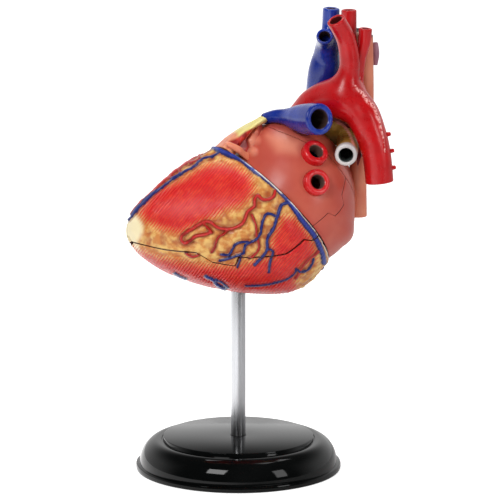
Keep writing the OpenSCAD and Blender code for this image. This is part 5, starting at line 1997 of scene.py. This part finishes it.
@dataclass
class Conus:
    """The outflow of the right ventricle, under the blue trunk."""

    wall: float = 1.1

    def build(self) -> None:
        """Makes the conus."""
        store: dict = {}

        def place(u: Array, w: Array) -> Array:
            """Lays the sheet on the conus."""
            sheet = Sheet(CONUS, 3 * u, 360 * w)
            height = 0.25 * Grain(17).at(sheet.points, 4.0) * smooth(0, 0.1, u) * smooth(1, 0.9, u)
            low = inside_of(sheet.seen, np.array([(195, 140), (226, 130), (236, 133), (239, 138), (250, 132), (264,
                    130),
                                                  (250, 160), (205, 170)])) * EYE.scale
            red = inside_of(sheet.seen, np.array(HOLLOW)) * EYE.scale
            near = smooth(-0.4, 0.0, sheet.turned)
            store.update(blush=smooth(-1.5, 1.2, low), hollow=smooth(-0.5, 0.4, red) * near, outward=sheet.normals)
            return (sheet.points + (height - 0.5 * smooth(-0.6, 0.8, red) * near)[:, None] * sheet.normals) * MM

        obj, _, _ = laid_grid("pale_conus", 180, 110, place)
        faces_away(obj, store.pop("outward"))
        for key, values in store.items():
            put_attribute(obj, key, values)
        make_active(obj)
        bpy.ops.object.mode_set(mode="EDIT")
        bpy.ops.mesh.select_all(action="SELECT")
        bpy.ops.mesh.remove_doubles(threshold=1e-6)
        bpy.ops.object.mode_set(mode="OBJECT")
        walled(SHELF.dress(obj, Paint.CONUS, Paint.INNER), self.wall)
        hand_in(smoothed(obj, 50), "right_ventricle", ["pulmonary_conus"])


@dataclass
class Stand:
    """The round black base and its rod."""

    base_r: float = 45.0
    dome_r: float = 43.3
    lip_h: float = 2.6
    base_h: float = 14.5
    disc_r: float = 33.0
    disc_h: float = 1.5
    shoulder: float = 2.4
    base_wall: float = 2.6
    rod_r: float = 3.2
    rod_bottom: float = 4.5
    rod_top: float = 93.0

    def build(self) -> None:
        """Makes the base, its cover and the rod."""
        top = self.base_h - self.disc_h
        edge = self.disc_r + self.shoulder
        hollow = self.dome_r - self.base_wall
        profile = [(hollow, 0.0), (self.base_r - 0.7, 0.0), (self.base_r - 0.2, 0.2), (self.base_r, 0.7),
                   (self.base_r, self.lip_h - 0.8), (self.base_r - 0.2, self.lip_h - 0.25),
                   (self.base_r - 0.7, self.lip_h), (self.dome_r + 0.35, self.lip_h), (self.dome_r + 0.1,
                           self.lip_h + 0.15)]
        profile += [(edge + (self.dome_r - edge) * math.cos(t), self.lip_h + (top - self.lip_h) * math.sin(t))
                    for t in np.linspace(0.06, math.pi / 2, 22)]
        profile += [(self.disc_r + 0.75, top), (self.disc_r + 0.5, top - 0.35), (self.disc_r + 0.15, top - 0.35),
                    (self.disc_r, top - 0.1), (self.disc_r, self.base_h - 0.5), (self.disc_r - 0.15,
                            self.base_h - 0.15),
                    (self.disc_r - 0.5, self.base_h)]
        profile += [(self.rod_r + 0.45, self.base_h), (self.rod_r + 0.05, self.base_h - 0.4),
                    (self.rod_r + 0.05, 4.5), (0, 4.5), (0, 1.75), (5.85, 1.75), (5.85, 10.4),
                    (edge - self.base_wall, 10.4), (edge - self.base_wall, self.lip_h), (hollow, self.lip_h),
                            (hollow, 0)]
        base = SHELF.dress(lathed("black_base", profile, 160), Paint.BLACK)
        hand_in(base, "stand", ["stand_base"])
        cover = SHELF.dress(polished("base_floor", "base_cover"), Paint.BLACK)
        hand_in(cover, "stand", ["base_floor"])
        r = self.rod_r
        rod = lathed("metal_rod", [
            (0, self.rod_bottom), (r - 0.5, self.rod_bottom), (r - 0.12, self.rod_bottom + 0.25),
            (r, self.rod_bottom + 0.6), (r, self.rod_top - 0.6), (r - 0.12, self.rod_top - 0.25),
            (r - 0.5, self.rod_top), (0, self.rod_top)], 64)
        hand_in(SHELF.dress(rod, Paint.METAL), "rod", ["stand_rod"])


@dataclass
class Inside:
    """The septa, the valve plate, the valves and their muscles."""

    pieces: tuple = (
        ("ventricular_septum", "septum_of_ventricles", Paint.INNER, "inner_muscle"),
        ("atrial_septum", "septum_of_atria", Paint.INNER, "atrium_salmon"),
        ("valve_plate", "plate_of_valves", Paint.PLATE, "plate_tan"),
        ("mitral_valve", "mitral_leaflets", Paint.VALVE, "valve_cream"),
        ("tricuspid_valve", "tricuspid_leaflets", Paint.VALVE, "valve_cream"),
        ("aortic_valve", "aortic_cusps", Paint.VALVE, "valve_cream"),
        ("mitral_papillary_muscles", "mitral_muscles", Paint.INNER, "inner_muscle"),
        ("tricuspid_papillary_muscles", "tricuspid_muscles", Paint.INNER, "inner_muscle"))

    def build(self) -> None:
        """Dresses the hidden pieces."""
        for node, name, paint, slot in self.pieces:
            hand_in(SHELF.dress(polished(node, name), paint), "heart_core", [node])


# ---------------------------------------------------------------- the studio


@dataclass
class Studio:
    """The floor, the lights and the camera."""

    def floor(self) -> None:
        """A pale floor that keeps the shadow and shows white."""
        nothing_selected()
        bpy.ops.mesh.primitive_grid_add(x_subdivisions=4, y_subdivisions=4, size=12, location=(0, 0, -0.0001))
        obj = named(bpy.context.object, "floor")
        m = Maker("floor_white")
        m.finish((0.78, 0.78, 0.78, 1.0), 0.6, Specular_IOR_Level=0.2)
        tree = m.tree
        path = tree.nodes.new("ShaderNodeLightPath")
        glow = tree.nodes.new("ShaderNodeEmission")
        glow.inputs["Strength"].default_value = 0.75
        add = tree.nodes.new("ShaderNodeAddShader")
        mix = tree.nodes.new("ShaderNodeMixShader")
        out = tree.nodes["Material Output"]
        seen = m.math("MAXIMUM", path.outputs["Is Camera Ray"], m.math("MAXIMUM", path.outputs["Is Glossy Ray"],
                                                                       path.outputs["Is Transmission Ray"]))
        # The white goes soft to the right, so that polished metal shows a bright and a dark side.
        where = tree.nodes.new("ShaderNodeSeparateXYZ")
        tree.links.new(m.coords.outputs["Object"], where.inputs[0])
        bright = m.step(where.outputs["X"], 0.05, -0.06, 0.0, 1.1)
        bright = m.blend(path.outputs["Is Camera Ray"], bright, (0.75, 0.75, 0.75, 1.0))
        tree.links.new(bright, glow.inputs["Strength"])
        tree.links.new(m.shader.outputs[0], add.inputs[0])
        tree.links.new(glow.outputs[0], add.inputs[1])
        tree.links.new(seen, mix.inputs[0])
        tree.links.new(m.shader.outputs[0], mix.inputs[1])
        tree.links.new(add.outputs[0], mix.inputs[2])
        tree.links.new(mix.outputs[0], out.inputs["Surface"])
        obj.data.materials.append(m.material)

    def world(self) -> None:
        """Even light from all round, white where it is seen."""
        world = bpy.data.worlds.new("studio")
        bpy.context.scene.world = world
        world.use_nodes = True
        tree = world.node_tree
        back = tree.nodes["Background"]
        back.inputs["Color"].default_value = (1, 1, 1, 1)
        path = tree.nodes.new("ShaderNodeLightPath")
        mix = tree.nodes.new("ShaderNodeMapRange")
        mix.inputs["To Min"].default_value = 0.32
        # Gloss sees the white behind the object and a dim room before and above it.
        coords = tree.nodes.new("ShaderNodeTexCoord")
        split = tree.nodes.new("ShaderNodeSeparateXYZ")
        tree.links.new(coords.outputs["Generated"], split.inputs[0])

        def node(kind: str, a: object, b: object) -> bpy.types.NodeSocket:
            """One sum on numbers."""
            made = tree.nodes.new("ShaderNodeMath")
            made.operation = kind
            for socket, value in zip(made.inputs, (a, b)):
                if isinstance(value, bpy.types.NodeSocket):
                    tree.links.new(value, socket)
                else:
                    socket.default_value = value
            return made.outputs[0]

        def step(value: bpy.types.NodeSocket, low: float, high: float) -> bpy.types.NodeSocket:
            """A soft step from 0 to 1."""
            made = tree.nodes.new("ShaderNodeMapRange")
            made.interpolation_type = "SMOOTHSTEP"
            tree.links.new(value, made.inputs["Value"])
            made.inputs["From Min"].default_value = low
            made.inputs["From Max"].default_value = high
            return made.outputs["Result"]

        behind = node("MULTIPLY", step(split.outputs["Y"], -0.35, 0.35), step(split.outputs["Z"], 0.75, 0.25))
        clear = node("MAXIMUM", path.outputs["Is Glossy Ray"], path.outputs["Is Transmission Ray"])
        tree.links.new(clear, mix.inputs["Value"])
        room = node("ADD", node("MULTIPLY", behind, 0.92), 0.06)
        tree.links.new(room, mix.inputs["To Max"])
        sight = node("MAXIMUM", path.outputs["Is Camera Ray"], mix.outputs["Result"])
        tree.links.new(sight, back.inputs["Strength"])

    def lamp(self, name: str, place: tuple, aim: tuple, size: tuple, watts: float) -> None:
        """A soft box.

        Args:
            name: The lamp's name.
            place: Where it stands, in metres.
            aim: What it points at, in metres.
            size: Its width and height.
            watts: How strong it is.
        """
        data = bpy.data.lights.new(name, "AREA")
        data.shape = "RECTANGLE"
        data.size, data.size_y = size
        data.energy = watts
        obj = bpy.data.objects.new(name, data)
        bpy.context.scene.collection.objects.link(obj)
        obj.location = place
        way = unit(np.array(aim) - np.array(place))
        flat = math.hypot(way[0], way[1])
        obj.rotation_euler = (math.atan2(flat, -way[2]), 0, math.atan2(-way[0], way[1]) if flat > 1e-6 else 0)

    def camera(self) -> None:
        """The camera at the photograph's place."""
        data = bpy.data.cameras.new("photo")
        data.sensor_width = 36
        data.lens = EYE.distance / EYE.scale * 36 / EYE.picture
        data.clip_start, data.clip_end = 0.05, 50
        obj = bpy.data.objects.new("photo", data)
        bpy.context.scene.collection.objects.link(obj)
        obj.location = tuple(EYE.place() * MM)
        obj.rotation_euler = (math.radians(90 - EYE.height), 0, 0)
        bpy.context.scene.camera = obj

    def build(self) -> None:
        """Sets up the studio."""
        bpy.context.scene.view_settings.view_transform = "Standard"
        self.floor()
        self.world()
        self.lamp("key", (-0.55, -1.0, 0.95), (0.0, 0.0, 0.12), (0.5, 0.5), 10.5)
        self.lamp("fill", (0.95, -0.75, 0.5), (0.0, 0.0, 0.1), (0.3, 0.6), 3)
        self.lamp("top", (0.1, 0.35, 1.25), (0.0, 0.0, 0.1), (0.9, 0.6), 6.5)
        self.camera()


FRAME: dict = {}


def main() -> None:
    """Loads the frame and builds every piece."""
    logging.basicConfig(level=logging.INFO, format="%(name)s %(message)s")
    FRAME.update(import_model())
    for part in (Studio(), Stand(), Ventricles(), Conus(), Atria(), GreatVessels(), Inside()):
        part.build()
    nothing_selected()


if __name__ == "__main__":
    main()
